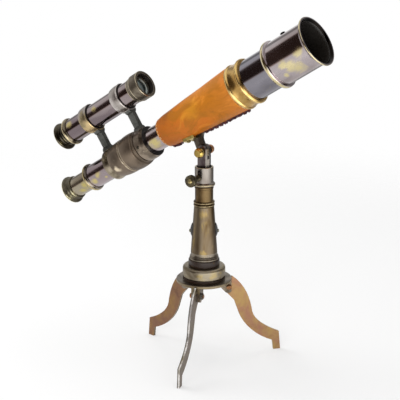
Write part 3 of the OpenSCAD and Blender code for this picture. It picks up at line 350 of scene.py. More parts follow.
joints = {joint["name"]: joint for joint in frame["joints"]}
leg_half = 1.0
leg_tones = {
    "right_leg": ("a67a62", "b4975e", "94684e", "c8b48c", "6d5a40"),
    "rear_leg": ("8e6a54", "a4824e", "6c4c42", "8a7a64", "443628"),
    # Painted light: the front leg's greyer, darker side tones are painted shade, and its near-white edge
    # tone is a painted highlight.
    "front_leg": ("857a72", "7c7258", "4c423a", "f2eeea", "4a4236"),
}
for name, cloud_shift in (("right_leg", 45.8), ("rear_leg", 167.6), ("front_leg", 284.1)):
    leg = Finish(name + "_finish")
    copper, gold, pit, steel, shade_and_dark_specks = (tint(code) for code in leg_tones[name])
    across = leg.dot(leg.place, tuple(joints[name + "_fold"]["axis"]))
    off = leg.size(across) * 1000.0 + leg.noise(2.5, 2.0) * 0.06
    cut = leg.smooth(off, leg_half - 0.02, leg_half - 0.06)
    cloud = leg.noise(9.0, 4.0, 0.6, warp=0.9, shift=cloud_shift)
    pitted = leg.noise(5.0, 3.0, 0.6, warp=0.8, shift=cloud_shift)
    fine = leg.noise(1.4, 4.0, 0.6)
    side = leg.mix(leg.smooth(cloud, 0.36, 0.66) * 0.8, copper, gold)
    side = leg.mix(leg.smooth(pitted, 0.5, 0.7) * 0.5, side, pit)
    side = leg.mix(leg.smooth(fine, 0.55, 0.8) * 0.2, side, pit)
    edge_tone = leg.mix(leg.smooth(leg.noise(9.0, 3.0), 0.5, 0.66), steel, gold)
    edge_tone = leg.mix(leg.smooth(fine, 0.5, 0.7) * 0.5, edge_tone, shade_and_dark_specks)
    # Painted shade: one side of each cut edge is darkened towards the shade tone.
    edge_tone = leg.mix(leg.smooth(across * 1000.0, 0.2, -0.5) * 0.8, edge_tone, shade_and_dark_specks)
    colour = leg.mix(cut, side, edge_tone)
    normal = leg.bump(fine, 0.012, leg.bump(leg.noise(6.0, 1.0), 0.03))
    rough = 0.42 + fine * 0.2 - cut * 0.16
    dress(leg.finish(colour, rough, normal, 0.85), name)


# Leg pins.
# Slotted rivets with copper heads hold the legs, with small steel nuts on their far ends.


def speckled(name, light, dark, rough, depth=0.01, size=1.2, metallic=1.0):
    """A plain finish for small metal parts: a tone with darker specks and a fine tooth."""
    metal = Finish(name)
    grain = metal.noise(size, 4.0, 0.6)
    broad = metal.noise(size * 6.0, 2.0)
    colour = metal.mix(metal.smooth(grain * 0.6 + broad * 0.4, 0.42, 0.64), tint(light), tint(dark))
    return metal.finish(colour, rough + grain * 0.16, metal.bump(grain, depth), metallic)


dress(speckled("pin_copper", "a87a56", "6a4a34", 0.28), "leg_pins")
dress(speckled("nut_steel", "9a958c", "5c564c", 0.3), "pin_nuts")


# Turned stand.
# The leg bracket, drum, pillar, column and socket are turned brass under a thin grey-brown patina.
# Handling has rubbed gold streaks through it along the pillar. The bead edges have pale lines, which on
# the drum's top edge and the pillar's foot are painted highlights.


def antique(name, tones, rough, streak=(1.0, 1.0, 1.0), size=7.0, spots=(), crest=None, edge="bfae88"):
    """Satin brass under a patina.

    tones are the patina, its dark stains and the brass that shows through it. Stains and rubbed places
    are noise stretched by streak. spots are (point in metres, size in mm) where brass shows. crest is
    (point, axis, [(from mm, to mm, radius mm)]): between those stations all that lies outside the
    radius has the tone of edge, a pale line that is partly painted highlight.
    """
    metal = Finish(name)
    patina, stain, brass = (tint(code) for code in tones)
    broad = metal.noise(size, 3.0, 0.6, streak, warp=0.4)
    other = metal.noise(size * 0.6, 4.0, 0.7, streak, warp=0.6, shift=0.37)
    fine = metal.noise(0.9, 4.0, 0.65, streak)
    colour = metal.mix(metal.smooth(broad, 0.42, 0.66), patina, stain)
    rubbed = metal.smooth(other, 0.54, 0.76) * 0.45
    for point, spread in spots:
        rubbed = metal.most(rubbed, metal.patch(point, spread, other) * 0.3)
    lines = 0.0
    if crest:
        station, radius = metal.about(crest[0], crest[1])
        for low, high, outer in crest[2]:
            high_spot = metal.smooth(radius + (fine - 0.5) * 0.7, outer - 0.1, outer + 0.2)
            lines = metal.most(lines, metal.band(station, low, high, 0.1) * high_spot * 0.6)
    colour = metal.mix(rubbed, colour, brass)
    colour = metal.mix(lines, colour, tint(edge))
    colour = metal.mix(metal.smooth(fine, 0.55, 0.72) * 0.4, colour, stain)
    normal = metal.bump(fine, 0.008, metal.bump(broad, 0.03))
    return metal.finish(colour, rough + fine * 0.14 - rubbed * 0.1, normal)


origin = (0.0, 0.0, 0.0)
upright = (0.0, 0.0, 1.0)
dress(
    antique(
        "bracket_finish",
        ("8d8376", "5d5346", "a98a5c"),
        0.3,
        size=9.0,
        crest=(origin, upright, [(60, 70, 21.35)]),
        edge="8a7a5c",
    ),
    "leg_bracket",
)
dress(
    antique(
        "drum_finish",
        ("948a78", "6f6350", "c0a446"),
        0.32,
        streak=(1.0, 1.0, 0.6),
        size=9.0,
        spots=[((0.0144, -0.0086, 0.0728), 4.2), ((0.0066, -0.0153, 0.0715), 3.0)],
        # Painted highlight: the pale line along the drum's top edge.
        crest=(origin, upright, [(76.3, 77.2, 16.0)]),
        edge="d9c6a4",
    ),
    "base_drum",
)
dress(
    antique(
        "pillar_finish",
        ("6f6250", "544228", "b0964e"),
        0.3,
        streak=(1.0, 1.0, 5.0),
        size=5.0,
        spots=[
            ((0.0042, -0.0067, 0.1195), 4.4),
            ((0.0052, -0.0068, 0.113), 2.6),
            ((0.0046, -0.0093, 0.089), 3.0),
        ],
        # Partly painted highlight: the lighter band round the pillar's foot.
        crest=(origin, upright, [(82.0, 88.0, 9.0)]),
        edge="8f887c",
    ),
    "pillar",
)
dress(
    antique(
        "column_finish",
        ("635238", "4a3822", "9a7a3e"),
        0.32,
        streak=(1.0, 1.0, 2.0),
        size=5.0,
        crest=(origin, upright, [(124, 129.2, 8.05)]),
    ),
    "column",
)
dress(
    antique(
        "socket_finish",
        ("7f7972", "655d56", "a0968a"),
        0.26,
        streak=(1.0, 1.0, 4.0),
        size=5.0,
        crest=(origin, upright, [(140.4, 144, 8.25), (155.6, 156.2, 6.2)]),
    ),
    "socket",
)
dress(speckled("centre_bolt_steel", "8f8a80", "5a544a", 0.34), "centre_bolt")


# Black rings and keys.
# The spacer under the drum, the neck ring above it, the side keys and the washers are black-lacquered brass.
# The lacquer is glossy and worn through to brown in small chips along its edges.


def lacquer(name, tone, rough=0.16, chips=0.72):
    """Black lacquer with a few worn chips, and faint waves in its gloss."""
    coat = Finish(name)
    chip = coat.smooth(coat.noise(2.2, 4.0, 0.7), chips, chips + 0.06)
    wave = coat.noise(5.0, 1.0)
    colour = coat.mix(chip, tint(tone), tint("5d4a34"))
    return coat.finish(
        colour, rough + chip * 0.3 + wave * 0.06, coat.bump(wave, 0.03), chip * 0.9, Specular_IOR_Level=0.3
    )


dress(lacquer("ring_lacquer", "2a1d15", 0.3, 0.62), "neck_ring", "spacer_ring")
dress(lacquer("key_lacquer", "0e0c0b"), "side_keys")
dress(lacquer("washer_lacquer", "1a1714", 0.24), "bolt_washers")
dress(speckled("key_screw_brass", "8c8a76", "4c4a3e", 0.26), "key_screws")


# Fork post and tongue.
# The forked post slides in the socket, and the tongue under the saddle turns between its cheeks.
# Both are flat filed brass with a dark grey-brown tone. The post's narrow side is painted pale as a
# highlight, with painted shade along its far edge.


def filed(name, tones, rough, side=None):
    """Filed flat brass: fine scratches along one direction under a dark tone, with lighter rubbed places.

    side is the x in mm beyond which the narrow side has a pale painted highlight, up to the y in mm where
    its far part has painted shade.
    """
    metal = Finish(name)
    scratch = metal.noise(0.7, 3.0, 0.6, (1.0, 1.0, 9.0))
    cloud = metal.noise(4.0, 3.0, 0.6, (1.0, 1.0, 1.6), warp=0.3)
    light, dark, bare = (tint(code) for code in tones)
    colour = metal.mix(metal.smooth(cloud, 0.42, 0.6), light, dark)
    bright = metal.smooth(cloud * 0.6 + scratch * 0.4, 0.6, 0.68)
    colour = metal.mix(bright * 0.7, colour, bare)
    if side:
        # Painted highlight on the narrow side, with painted shade along its far edge.
        highlit_side = metal.smooth(metal.dot(metal.place, (1000.0, 0.0, 0.0)), side[0] - 0.06, side[0] + 0.02)
        shaded_far_edge = metal.smooth(metal.dot(metal.place, (0.0, 1000.0, 0.0)), side[1] - 0.15, side[1] + 0.15)
        colour = metal.mix(highlit_side, colour, metal.mix(shaded_far_edge, tint("f4ecdf"), tint("2a2522")))
    return metal.finish(colour, rough + scratch * 0.2, metal.bump(scratch, 0.012))


dress(filed("post_finish", ("7a7070", "574c4c", "b0a79c"), 0.28, side=(3.55, 1.9)), "fork_post")
dress(filed("tongue_finish", ("625a50", "40372f", "8d8271"), 0.3), "tilt_tongue")


# Clamping knob and bolt.
# A turned brass knob on the near side draws the cheeks together on a bolt with a copper-plated head.

dress(speckled("knob_brass", "d6b968", "8e7636", 0.2, 0.006, 2.0), "tilt_knob")
dress(speckled("bolt_copper", "c08c62", "8f6244", 0.36, 0.01, 1.2, 0.85), "tilt_bolt")


# Thumb screw.
# A dark knurled screw with a domed brass cap let into its head locks the post at its height.

dress(speckled("thumb_dark", "6f6650", "3a342a", 0.34), "thumb_screw")
dress(speckled("thumb_cap_brass", "a5966a", "786840", 0.24, 0.006), "thumb_cap")


# Polished tubes.
# The sunshade, objective tube, rear tube, finder and draw tubes are drawn brass with a dark, glossy patina
# of a mauve-grey bronze. It has rubbed through to pale gold in patches, and along every rolled edge.

bolt = np.array(joints["telescope_tilt"]["pos_m"], float)
ahead = np.array(joints["sunshade_slide"]["axis"], float)
aside = np.array(joints["telescope_tilt"]["axis"], float)
above = np.cross(aside, ahead)
barrel_rise = 0.027
finder_rise = 0.0407
main_axis = bolt + barrel_rise * above
finder_axis = main_axis + finder_rise * above
lengthwise = (0.0, -math.atan2(ahead[2], ahead[0]), 0.0)


def on_tube(axis_point, station, radius, turn):
    """A point on a tube: mm along its axis, mm from it, and degrees from its near side towards its top."""
    angle = math.radians(turn)
    spoke = math.cos(angle) * aside + math.sin(angle) * above
    return axis_point + (station * ahead + radius * spoke) / 1000.0


def bronze(name, axis_point, tones, rough=0.1, worn=(), crests=(), inside=None, dark_front=()):
    """Polished tube bronze.

    tones are the metal, its darker clouds and the gold under them. worn lists (station, radius, turn, size)
    of rubbed patches. crests lists (from, to, radius): outside that radius the metal is rubbed to pale gold.
    inside is (radius, from station, to station) of the blackened bore, and dark_front lists (from, to,
    radius) of front faces that are black within that radius. Soft waves make the reflections wander.
    """
    metal = Finish(name)
    base, cloudy, gold = (tint(code) for code in tones)
    station, radius = metal.about(axis_point, ahead)
    cloud = metal.noise(16.0, 3.0, 0.55, (2.2, 1.0, 1.0), lengthwise, 0.5, 0.11)
    fine = metal.noise(1.1, 4.0, 0.65)
    colour = metal.mix(metal.smooth(cloud, 0.44, 0.66), base, cloudy)
    ragged = metal.noise(4.5, 5.0, 0.72, (1.8, 1.0, 1.0), lengthwise, 1.0, 0.53)
    rubbed = metal.smooth(ragged, 0.66, 0.8) * 0.6
    for place, out, turn, size in worn:
        patch = metal.patch(on_tube(axis_point, place, out, turn), size, ragged, 2.2)
        rubbed = metal.most(rubbed, patch * 0.85)
    for low, high, outer in crests:
        rolled = metal.smooth(radius + (ragged - 0.5) * 0.5, outer - 0.08, outer + 0.12) * 0.8
        rubbed = metal.most(rubbed, metal.band(station, low, high, 0.08) * rolled)
    colour = metal.mix(rubbed, colour, gold)
    shine = rough + fine * 0.05 + rubbed * 0.1
    metallic = 1.0
    if inside:
        bore_r, bore_from, bore_to = inside
        bore = metal.smooth(radius, bore_r + 0.1, bore_r - 0.02)
        bore = bore * metal.band(station, bore_from - 0.05, bore_to + 0.05, 0.05)
        colour = metal.mix(bore, colour, tint("17130f"))
        shine = shine + bore * 0.4
        metallic = 1.0 - bore
    for low, high, outer in dark_front:
        recess = metal.band(station, low, high, 0.05) * metal.smooth(radius, outer + 0.1, outer - 0.1)
        colour = metal.mix(recess, colour, tint("14110f"))
    waves = metal.noise(10.0, 2.0, 0.5, (2.6, 1.0, 1.0), lengthwise)
    normal = metal.bump(fine, 0.0025, metal.bump(waves, 0.03))
    return metal.finish(colour, shine, normal, metallic)


dress(
    bronze(
        "sunshade_bronze",
        main_axis,
        ("b0a6a8", "958a89", "d9cb98"),
        worn=[
            (118.2, 16.8, -8, 5.2),
            (103.0, 16.8, -14, 5.4),
            (107.0, 16.8, -26, 6.6),
            (111.5, 16.8, -42, 6.6),
            (99.8, 16.8, -41, 2.4),
        ],
        crests=[(88.9, 92.7, 18.3), (123.4, 126.7, 18.75)],
        inside=(16.35, 92.7, 125.9),
        dark_front=[(124.8, 127.0, 17.9)],
    ),
    "sunshade",
)
dress(
    bronze(
        "objective_bronze",
        main_axis,
        ("87848b", "67646b", "a59a72"),
        inside=(14.9, 60.0, 110.0),
    ),
    "objective_tube",
)
dress(
    bronze(
        "rear_bronze",
        main_axis,
        ("a89c9c", "84777a", "c9b978"),
        worn=[
            (-31.0, 9.85, -18, 6.0),
            (-95.7, 9.85, -11, 4.6),
            (-101.5, 9.85, -30, 4.4),
            (-90.0, 9.85, -40, 2.4),
        ],
        inside=(9.0, -120.0, 0.0),
    ),
    "rear_tube",
)
dress(
    bronze(
        "draw_bronze",
        main_axis,
        ("a09784", "776c5c", "bfb06a"),
        0.16,
        worn=[(-114.0, 8.4, -20, 5.4), (-119.5, 8.4, -45, 4.4)],
        inside=(7.8, -140.0, -70.0),
    ),
    "main_draw_tube",
)
dress(
    bronze(
        "guide_ring_bronze",
        main_axis,
        ("8b8276", "5f574e", "bfae7c"),
        0.2,
        crests=[(-110.4, -105.8, 11.35)],
    ),
    "main_guide_ring",
)
dress(
    bronze(
        "finder_bronze",
        finder_axis,
        ("978b8b", "776b6e", "c9b978"),
        worn=[(-69.0, 9.7, 22, 3.8), (-99.1, 9.7, 29, 4.0)],
        inside=(8.9, -110.0, -28.0),
    ),
    "finder_tube",
    "finder_draw_tube",
)
dress(
    bronze(
        "finder_ring_brass",
        finder_axis,
        ("9a907c", "6b6252", "d8c8a0"),
        0.2,
        crests=[(-107.8, -103.4, 11.3)],
    ),
    "finder_guide_ring",
)
dress(
    bronze("lens_ring_bronze", main_axis, ("5d564e", "3c3630", "8b7c58"), 0.3),
    "lens_ring",
    "finder_lens_ring",
)
dress(lacquer("cell_black", "100e0d", 0.4), "lens_cell")
dress(speckled("guide_screw_dark", "3a3a38", "1c1b1a", 0.3), "guide_screw")


# Turned body, hood and eye cups.
# The thick turned parts have a satin olive-brown patina over fine turning marks, with bright lines on
# their edges that are partly rubbed brass and partly painted highlight.


def satin(name, axis_point, tones, rough, crests=(), worn=(), inside=None, metallic=1.0):
    """Satin patina on a turned part: fine rings round its axis, and bright crests and patches. The crests
    are partly rubbed brass and partly painted highlight.

    The values are listed as for the tubes. A part that is less than all metal also shows its own colour
    where it reflects the dark room.
    """
    metal = Finish(name)
    base, dark, bright = (tint(code) for code in tones)
    station, radius = metal.about(axis_point, ahead)
    cloud = metal.noise(8.0, 3.0, 0.6, (1.0, 1.4, 1.4), lengthwise, 0.4)
    fine = metal.noise(1.0, 4.0, 0.65)
    rings = metal.add("ShaderNodeMath", {"operation": "SINE"}, {0: station * 21.0 + cloud * 8.0})
    colour = metal.mix(metal.smooth(cloud, 0.42, 0.64), base, dark)
    rubbed = metal.smooth(fine * 0.5 + cloud * 0.5, 0.6, 0.68) * 0.45
    for place, out, turn, size in worn:
        rubbed = metal.most(rubbed, metal.patch(on_tube(axis_point, place, out, turn), size, cloud))
    # Crest lines: partly rubbed brass and partly painted highlight.
    for low, high, outer in crests:
        rolled = metal.smooth(radius + (fine - 0.5) * 0.4, outer - 0.1, outer + 0.1)
        rubbed = metal.most(rubbed, metal.band(station, low, high, 0.08) * rolled)
    colour = metal.mix(rubbed, colour, bright)
    shine = rough + fine * 0.12 - rubbed * 0.08
    if inside:
        bore_r, bore_from, bore_to = inside
        bore = metal.smooth(radius, bore_r + 0.15, bore_r - 0.05)
        bore = bore * metal.band(station, bore_from - 0.05, bore_to + 0.05, 0.05)
        colour = metal.mix(bore, colour, tint("1b1713"))
        metallic = metallic - bore * 0.8
    normal = metal.bump(rings * 0.5 + 0.5, 0.002, metal.bump(fine, 0.01))
    return metal.finish(colour, shine, normal, metallic)


dress(
    satin(
        "body_satin",
        main_axis,
        ("7d6f60", "62564a", "e4d4b8"),
        0.4,
        crests=[(-78.4, -77.7, 12.6), (-64.9, -64.1, 14.1), (-63.4, -62.7, 14.1), (-50.8, -50.1, 13.8)],
        worn=[(-73.0, 14.1, -20, 3.5)],
    ),
    "turned_body",
)
dress(
    satin(
        "hood_satin",
        finder_axis,
        ("7d7466", "5c5448", "beb298"),
        0.34,
        crests=[(-32.1, -31.2, 9.7), (-28.2, -27.4, 10.8), (-20.2, -19.6, 10.7)],
        inside=(8.75, -27.2, -19.9),
    ),
    "finder_hood",
)
dress(
    satin(
        "main_cup_satin",
        main_axis,
        ("6e6858", "4c4638", "f0e6b8"),
        0.24,
        crests=[(-135.5, -134.4, 11.0), (-129.9, -127.8, 10.6)],
        worn=[(-131.0, 11.2, -40, 6.5)],
        metallic=0.75,
    ),
    "main_eye_cup",
)
dress(
    satin(
        "finder_cup_satin",
        finder_axis,
        ("565044", "3a352c", "a89c74"),
        0.24,
        crests=[(-116.9, -115.8, 11.0), (-111.4, -109.3, 10.6)],
        worn=[(-113.0, 11.0, -30, 3.0)],
    ),
    "finder_eye_cup",
)


# Links.
# Two castings carry the finder: a collar round each barrel and a web between them. The webs are rough
# dark grey, the collars are turned bright outside, and their front faces are black.


def casting(name, web, lower, upper, lower_reach, upper_reach, fronts):
    """A link's finish, mixed by the distance from the two barrels.

    lower and upper are (patina, dark, bright) of the collars within lower_reach and upper_reach mm of
    the axes. A fourth tone is a painted reflection: the collar's greyer tone on its upper side. fronts are
    the stations where the lower and the upper collar's black front faces begin.
    """
    metal = Finish(name)
    station, from_main = metal.about(main_axis, ahead)
    from_finder = metal.about(finder_axis, ahead)[1]
    high_side = float(finder_axis @ above) * 1000.0
    sand = metal.noise(0.8, 4.0, 0.7)
    cloud = metal.noise(5.0, 3.0, 0.6)
    colour = metal.mix(metal.smooth(cloud, 0.4, 0.62), tint(web[0]), tint(web[1]))
    near_main = metal.smooth(from_main, lower_reach + 0.35, lower_reach + 0.1)
    near_finder = metal.smooth(from_finder, upper_reach + 0.35, upper_reach + 0.1)
    top_side_reflection = metal.smooth(metal.dot(metal.place, tuple(above)) * 1000.0, high_side - 2.0, high_side + 5.0)
    for near, tones in ((near_main, lower), (near_finder, upper)):
        base, dark, bright = (tint(code) for code in tones[:3])
        if len(tones) == 4:
            # Painted reflection: a greyer tone on the upper side of the collar.
            base = metal.mix(top_side_reflection, base, tint(tones[3]))
        turned = metal.mix(metal.smooth(cloud, 0.42, 0.6), base, dark)
        turned = metal.mix(metal.smooth(sand * 0.4 + cloud * 0.6, 0.58, 0.66) * 0.6, turned, bright)
        colour = metal.mix(near, colour, turned)
    black_main = near_main * metal.smooth(station, fronts[0] - 0.2, fronts[0])
    black_main = black_main * metal.smooth(from_main, lower_reach - 0.5, lower_reach - 0.8)
    black_finder = near_finder * metal.smooth(station, fronts[1] - 0.2, fronts[1])
    black_finder = black_finder * metal.smooth(from_finder, upper_reach - 0.45, upper_reach - 0.75)
    black = metal.most(black_main, black_finder)
    colour = metal.mix(black, colour, tint("16120f"))
    rough = 0.5 - metal.most(near_main, near_finder) * 0.22 + sand * 0.12
    normal = metal.bump(sand, 0.025)
    return metal.finish(colour, rough, normal, 1.0 - black * 0.7)


dress(
    casting(
        "front_casting",
        ("72736f", "565753"),
        ("9a8c7c", "6f6457", "c2b49e"),
        ("cdc6c1", "a19a94", "f0eae2"),
        lower_reach=13.0,
        upper_reach=11.4,
        fronts=(-38.45, -41.75),
    ),
    "front_link",
)
dress(
    casting(
        "rear_casting",
        ("72736f", "565753"),
        ("9a8f7c", "6f6553", "cabd98"),
        ("c9b184", "948566", "e6d6ae", "a9a19c"),
        lower_reach=12.9,
        upper_reach=11.4,
        fronts=(-78.45, -78.45),
    ),
    "rear_link",
)
dress(speckled("collar_screw_dark", "4d473c", "262320", 0.3), "collar_screws")


# Saddle.
# A curved brass plate under the barrel, held by two slotted screws.

dress(speckled("saddle_brass", "c2ac62", "6e6038", 0.24, 0.012, 2.2), "saddle")
dress(speckled("saddle_screw_brass", "b5a672", "55492c", 0.2), "saddle_screws")


# Ferrule.
# A polished brass ring with two beads joins the leather barrel to the objective tube. Its waist is darker.

ferrule = Finish("ferrule_brass")
ferrule_radius = ferrule.about(main_axis, ahead)[1]
ferrule_cloud = ferrule.noise(6.0, 3.0, 0.6, warp=0.3)
ferrule_fine = ferrule.noise(0.9, 4.0, 0.6)
ferrule_tone = ferrule.mix(ferrule.smooth(ferrule_cloud, 0.42, 0.64), tint("dcbc7a"), tint("b48e50"))
in_waist = ferrule.smooth(ferrule_radius, 17.6, 17.3)
ferrule_tone = ferrule.mix(in_waist * 0.5, ferrule_tone, tint("b58a46"))
crevice = ferrule.smooth(ferrule_radius, 17.35, 17.15)
ferrule_tone = ferrule.mix(crevice * 0.25, ferrule_tone, tint("6a4e22"))
dress(
    ferrule.finish(ferrule_tone, 0.2 + ferrule_fine * 0.06, ferrule.bump(ferrule_fine, 0.003), 0.94),
    "ferrule",
)
dress(speckled("barrel_brass", "8a7a5a", "54462e", 0.34), "main_barrel")


# Leather sleeve.
# Oiled tan hide is wrapped wet round the tapered barrel and drawn together by a laced seam underneath.
# It is thicker beside the seam, has soft lighter and darker patches, and shows its pale cut edge at
# the small end. Painted shade darkens its underside beside the saddle.

leather_back = -23.4
leather_front = 53.6
leather_stations = np.array([leather_back, -18.4, 7.5, leather_front])
leather_radii = np.array([11.6, 12.6, 14.5, 17.5])
leather_wall = 1.2
lip_round = 0.35
stitch_pitch = 4.6
saddle_middle = -2.5
saddle_reach = 9.6
seam_rise = 0.9
ridge_away = 0.75
ridge_width = 0.6
groove_width = 0.28
groove_depth = 1.4


def seam_lean(station):
    """How far the seam wanders to one side, in mm: a slow sine of the station."""
    return 0.25 * np.sin(station / 4.1)


def leather_radius(station, turn):
    """Outer radius in mm: a smooth taper through the four radii, soft waves, and a ridge beside the seam.

    turn is measured from the underside. The ridge is the sum of two bell curves a little to each side
    of the seam's line, less a narrow one on it, and it swells between the stitches. Ridge and waves
    fade out over the saddle and towards the sleeve's two ends.
    """
    near = [np.interp(station + shift, leather_stations, leather_radii) for shift in (-1.5, 0.0, 1.5)]
    taper = sum(near) / 3.0
    waves = 0.05 * np.sin(3 * turn + station / 9.0) + 0.04 * np.sin(5 * turn - station / 5.5 + 1.0)
    across = taper * turn - seam_lean(station)
    ridge = np.exp(-(((across - ridge_away) / ridge_width) ** 2))
    ridge = ridge + np.exp(-(((across + ridge_away) / ridge_width) ** 2))
    ridge = ridge - groove_depth * np.exp(-((across / groove_width) ** 2))
    swelling = np.sin(2.0 * math.pi * station / stitch_pitch + 0.8 * np.sin(station / 5.0))
    ridge = ridge * (0.75 + 0.55 * swelling)
    clear = np.clip(np.abs(station - saddle_middle) - saddle_reach, 0.0, 2.5) / 2.5
    off_back = np.clip((station - leather_back - 0.4) / 2.0, 0.0, 1.0)
    off_front = np.clip((leather_front - 0.2 - station) / 1.2, 0.0, 1.0)
    off_ends = off_back * off_front
    on_saddle = 1.0 - np.clip(np.abs(station + 2.0) - 8.0, 0.0, 3.0) / 3.0
    under = np.exp(-((turn / 0.6) ** 2))
    waves = waves * (1.0 - under * on_saddle) * off_ends
    return taper - 0.03 + waves + seam_rise * ridge * clear * off_ends


turn_count = 288
row_count = 150
gather = 0.82
even_turns = np.linspace(-math.pi, math.pi, turn_count + 1)[:-1]
leather_turns = even_turns - gather * np.sin(even_turns)
outer_stations = np.linspace(leather_back + lip_round, leather_front - lip_round * 0.5, row_count)
lip_angles = np.linspace(math.pi / 2, 0.0, 5)[:-1]
lip_station = leather_back + lip_round * (1 - np.sin(lip_angles))
lip_drop = lip_round * (1 - np.cos(lip_angles))
inner_rows = len(leather_stations)
profile_station = np.concatenate([lip_station, outer_stations, [leather_front], leather_stations[::-1]])
outer_drop = np.concatenate([lip_drop, np.zeros(row_count), [lip_round * 0.5]])
profile_drop = np.concatenate([outer_drop, np.full(inner_rows, leather_wall)])
station_grid = np.repeat(profile_station[:, None], turn_count, axis=1)
turn_grid = np.repeat(leather_turns[None, :], len(profile_station), axis=0)
radius_grid = leather_radius(station_grid, turn_grid) - profile_drop[:, None]
radius_grid[-inner_rows:] = (leather_radii[::-1] - leather_wall + 0.02)[:, None]


def spokes(turn):
    """Directions away from the main axis, at angles in radians from its underside."""
    return -np.cos(turn)[..., None] * above + np.sin(turn)[..., None] * aside


def leather_points(station, radius, turn):
    """Points in metres from mm along the main axis, mm from it, and radians from its underside."""
    return main_axis + (station[..., None] * ahead + radius[..., None] * spokes(turn)) / 1000.0


def add_piece(name, points, faces, material):
    """A smooth mesh object at the origin, with its faces pointing outwards."""
    mesh = bpy.data.meshes.new(name)
    mesh.from_pydata(np.reshape(points, (-1, 3)).tolist(), [], np.reshape(faces, (-1, 4)).tolist())
    mesh.polygons.foreach_set("use_smooth", np.full(len(mesh.polygons), True))
    mesh.materials.append(material)
    mesh.update()
    piece = bpy.data.objects.new(name, mesh)
    bpy.context.scene.collection.objects.link(piece)
    return piece


hide = Finish("oiled_hide")
hide_station = hide.about(main_axis, ahead)[0]
hide_cloud = hide.noise(17.0, 3.0, 0.55, (1.5, 1.0, 1.0), lengthwise, 0.8, 0.21)
hide_blot = hide.noise(8.0, 5.0, 0.62, (1.3, 1.0, 1.0), lengthwise, 1.2, 0.67)
hide_grain = hide.add(
    "ShaderNodeTexVoronoi", {"feature": "DISTANCE_TO_EDGE"}, {"Vector": hide.place, "Scale": 1500.0}
)
hide_fine = hide.noise(0.7, 3.0, 0.6)
hide_crease = hide.noise(3.5, 5.0, 0.7, (1.0, 1.0, 2.4), lengthwise, 1.2)
hide_tone = hide.mix(hide.smooth(hide_cloud, 0.4, 0.6), tint("b06806"), tint("be6812"))
front_pale = hide.smooth(hide_station + (hide_cloud - 0.5) * 50.0, 22.0, 62.0)
hide_tone = hide.mix(front_pale * 0.5, hide_tone, tint("cc7c34"))
hide_tone = hide.mix(hide.smooth(hide_blot, 0.46, 0.62) * 0.75, hide_tone, tint("9c5f08"))
hide_tone = hide.mix(hide.smooth(hide_blot, 0.45, 0.34) * 0.7, hide_tone, tint("cb7c22"))
rear_brown = hide.smooth(hide_station + (hide_blot - 0.5) * 30.0, 8.0, -26.0)
hide_tone = hide.mix(rear_brown * 0.6, hide_tone, tint("8a4604"))
brown_edge = hide.patch(on_tube(main_axis, -10.0, 12.8, 55), 9.0, hide_blot, 2.5)
hide_tone = hide.mix(brown_edge * 0.55, hide_tone, tint("74400c"))
golden = hide.patch(on_tube(main_axis, 14.0, 14.8, 8), 11.0, hide_blot, 3.0)
hide_tone = hide.mix(golden * 0.45, hide_tone, tint("c88a1c"))
# Painted shade: dark red-brown under the barrel beside the saddle.
shade_under_barrel = hide.patch(on_tube(main_axis, -4.0, 13.6, -90), 9.0, hide_cloud)
hide_tone = hide.mix(shade_under_barrel * 0.7, hide_tone, tint("5e2208"))
hide_tone = hide.mix(hide.smooth(hide_fine, 0.6, 0.75) * 0.4, hide_tone, tint("6e3608"))
seam_side = hide.dot(hide.place, (0.0, 1.0, 0.0))
seam_away = hide.size(seam_side * 1000.0 + (hide_crease - 0.5) * 1.2)
below_axis = hide.smooth(hide.dot(hide.from_point(main_axis), tuple(above)), 0.0, -0.004)
seam_dark = hide.smooth(seam_away, 3.4, 1.6) * below_axis
hide_tone = hide.mix(seam_dark * 0.92, hide_tone, tint("43141c"))
rear_cut = hide.smooth(hide_station + (hide_fine - 0.5) * 0.4, -22.95, -23.15)
hide_tone = hide.mix(rear_cut * 0.85, hide_tone, tint("e0b878"))
hide_waves = hide.bump(hide_crease, 0.12, hide.bump(hide_cloud, 0.3))
hide_bump = hide.bump(hide_grain * 0.5 + hide_fine * 0.5, 0.03, hide_waves)
hide_rough = 0.42 + hide_blot * 0.2 + rear_cut * 0.3
leather = add_piece(
    "leather_cover",
    leather_points(station_grid, radius_grid, turn_grid),
    ring_faces(len(profile_station), turn_count, close_rings=True)[:, ::-1],
    hide.finish(hide_tone, hide_rough, hide_bump, 0.0, Specular_IOR_Level=0.25),
)
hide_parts("leather_sleeve")
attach(leather, "telescope")


# Lacing.
# Waxed dark thread whips the two edges of the hide together along the underside, one turn each 4.6 mm.
# It stops at the saddle, which lies on the seam.


def sweep(path, radius, sides, sections):
    """A closed tube round a path: at each point a ring of the given radius in the plane across the path.

    sections are directions across the path, one a point. Less its part along the path, each is its
    ring's first direction. The two ends taper to a small ring that a strip of quads closes.
    """
    step = np.gradient(path, axis=0)
    step /= np.linalg.norm(step, axis=1)[:, None]
    first = sections - (sections * step).sum(axis=1)[:, None] * step
    first /= np.linalg.norm(first, axis=1)[:, None]
    second = np.cross(step, first)
    around = np.linspace(0.0, 2.0 * math.pi, sides + 1)[:-1]
    taper = np.ones(len(path))
    taper[[0, -1]] = 0.25
    ring = np.cos(around)[None, :, None] * first[:, None] + np.sin(around)[None, :, None] * second[:, None]
    points = path[:, None] + ring * (radius * taper)[:, None, None]
    faces = ring_faces(len(path), sides)
    half = sides // 2
    caps = []
    for row, flip in ((0, False), (len(path) - 1, True)):
        start = row * sides
        for i in range(half - 1):
            cap = [start + i, start + i + 1, start + sides - 2 - i, start + sides - 1 - i]
            caps.append(cap if flip else cap[::-1])
    return points.reshape(-1, 3), np.vstack([faces, np.array(caps)])


turn_samples = 24
thread_r = 0.0007
thread_lift = 0.45
hole_depth = 0.95
stitch_reach = 1.25


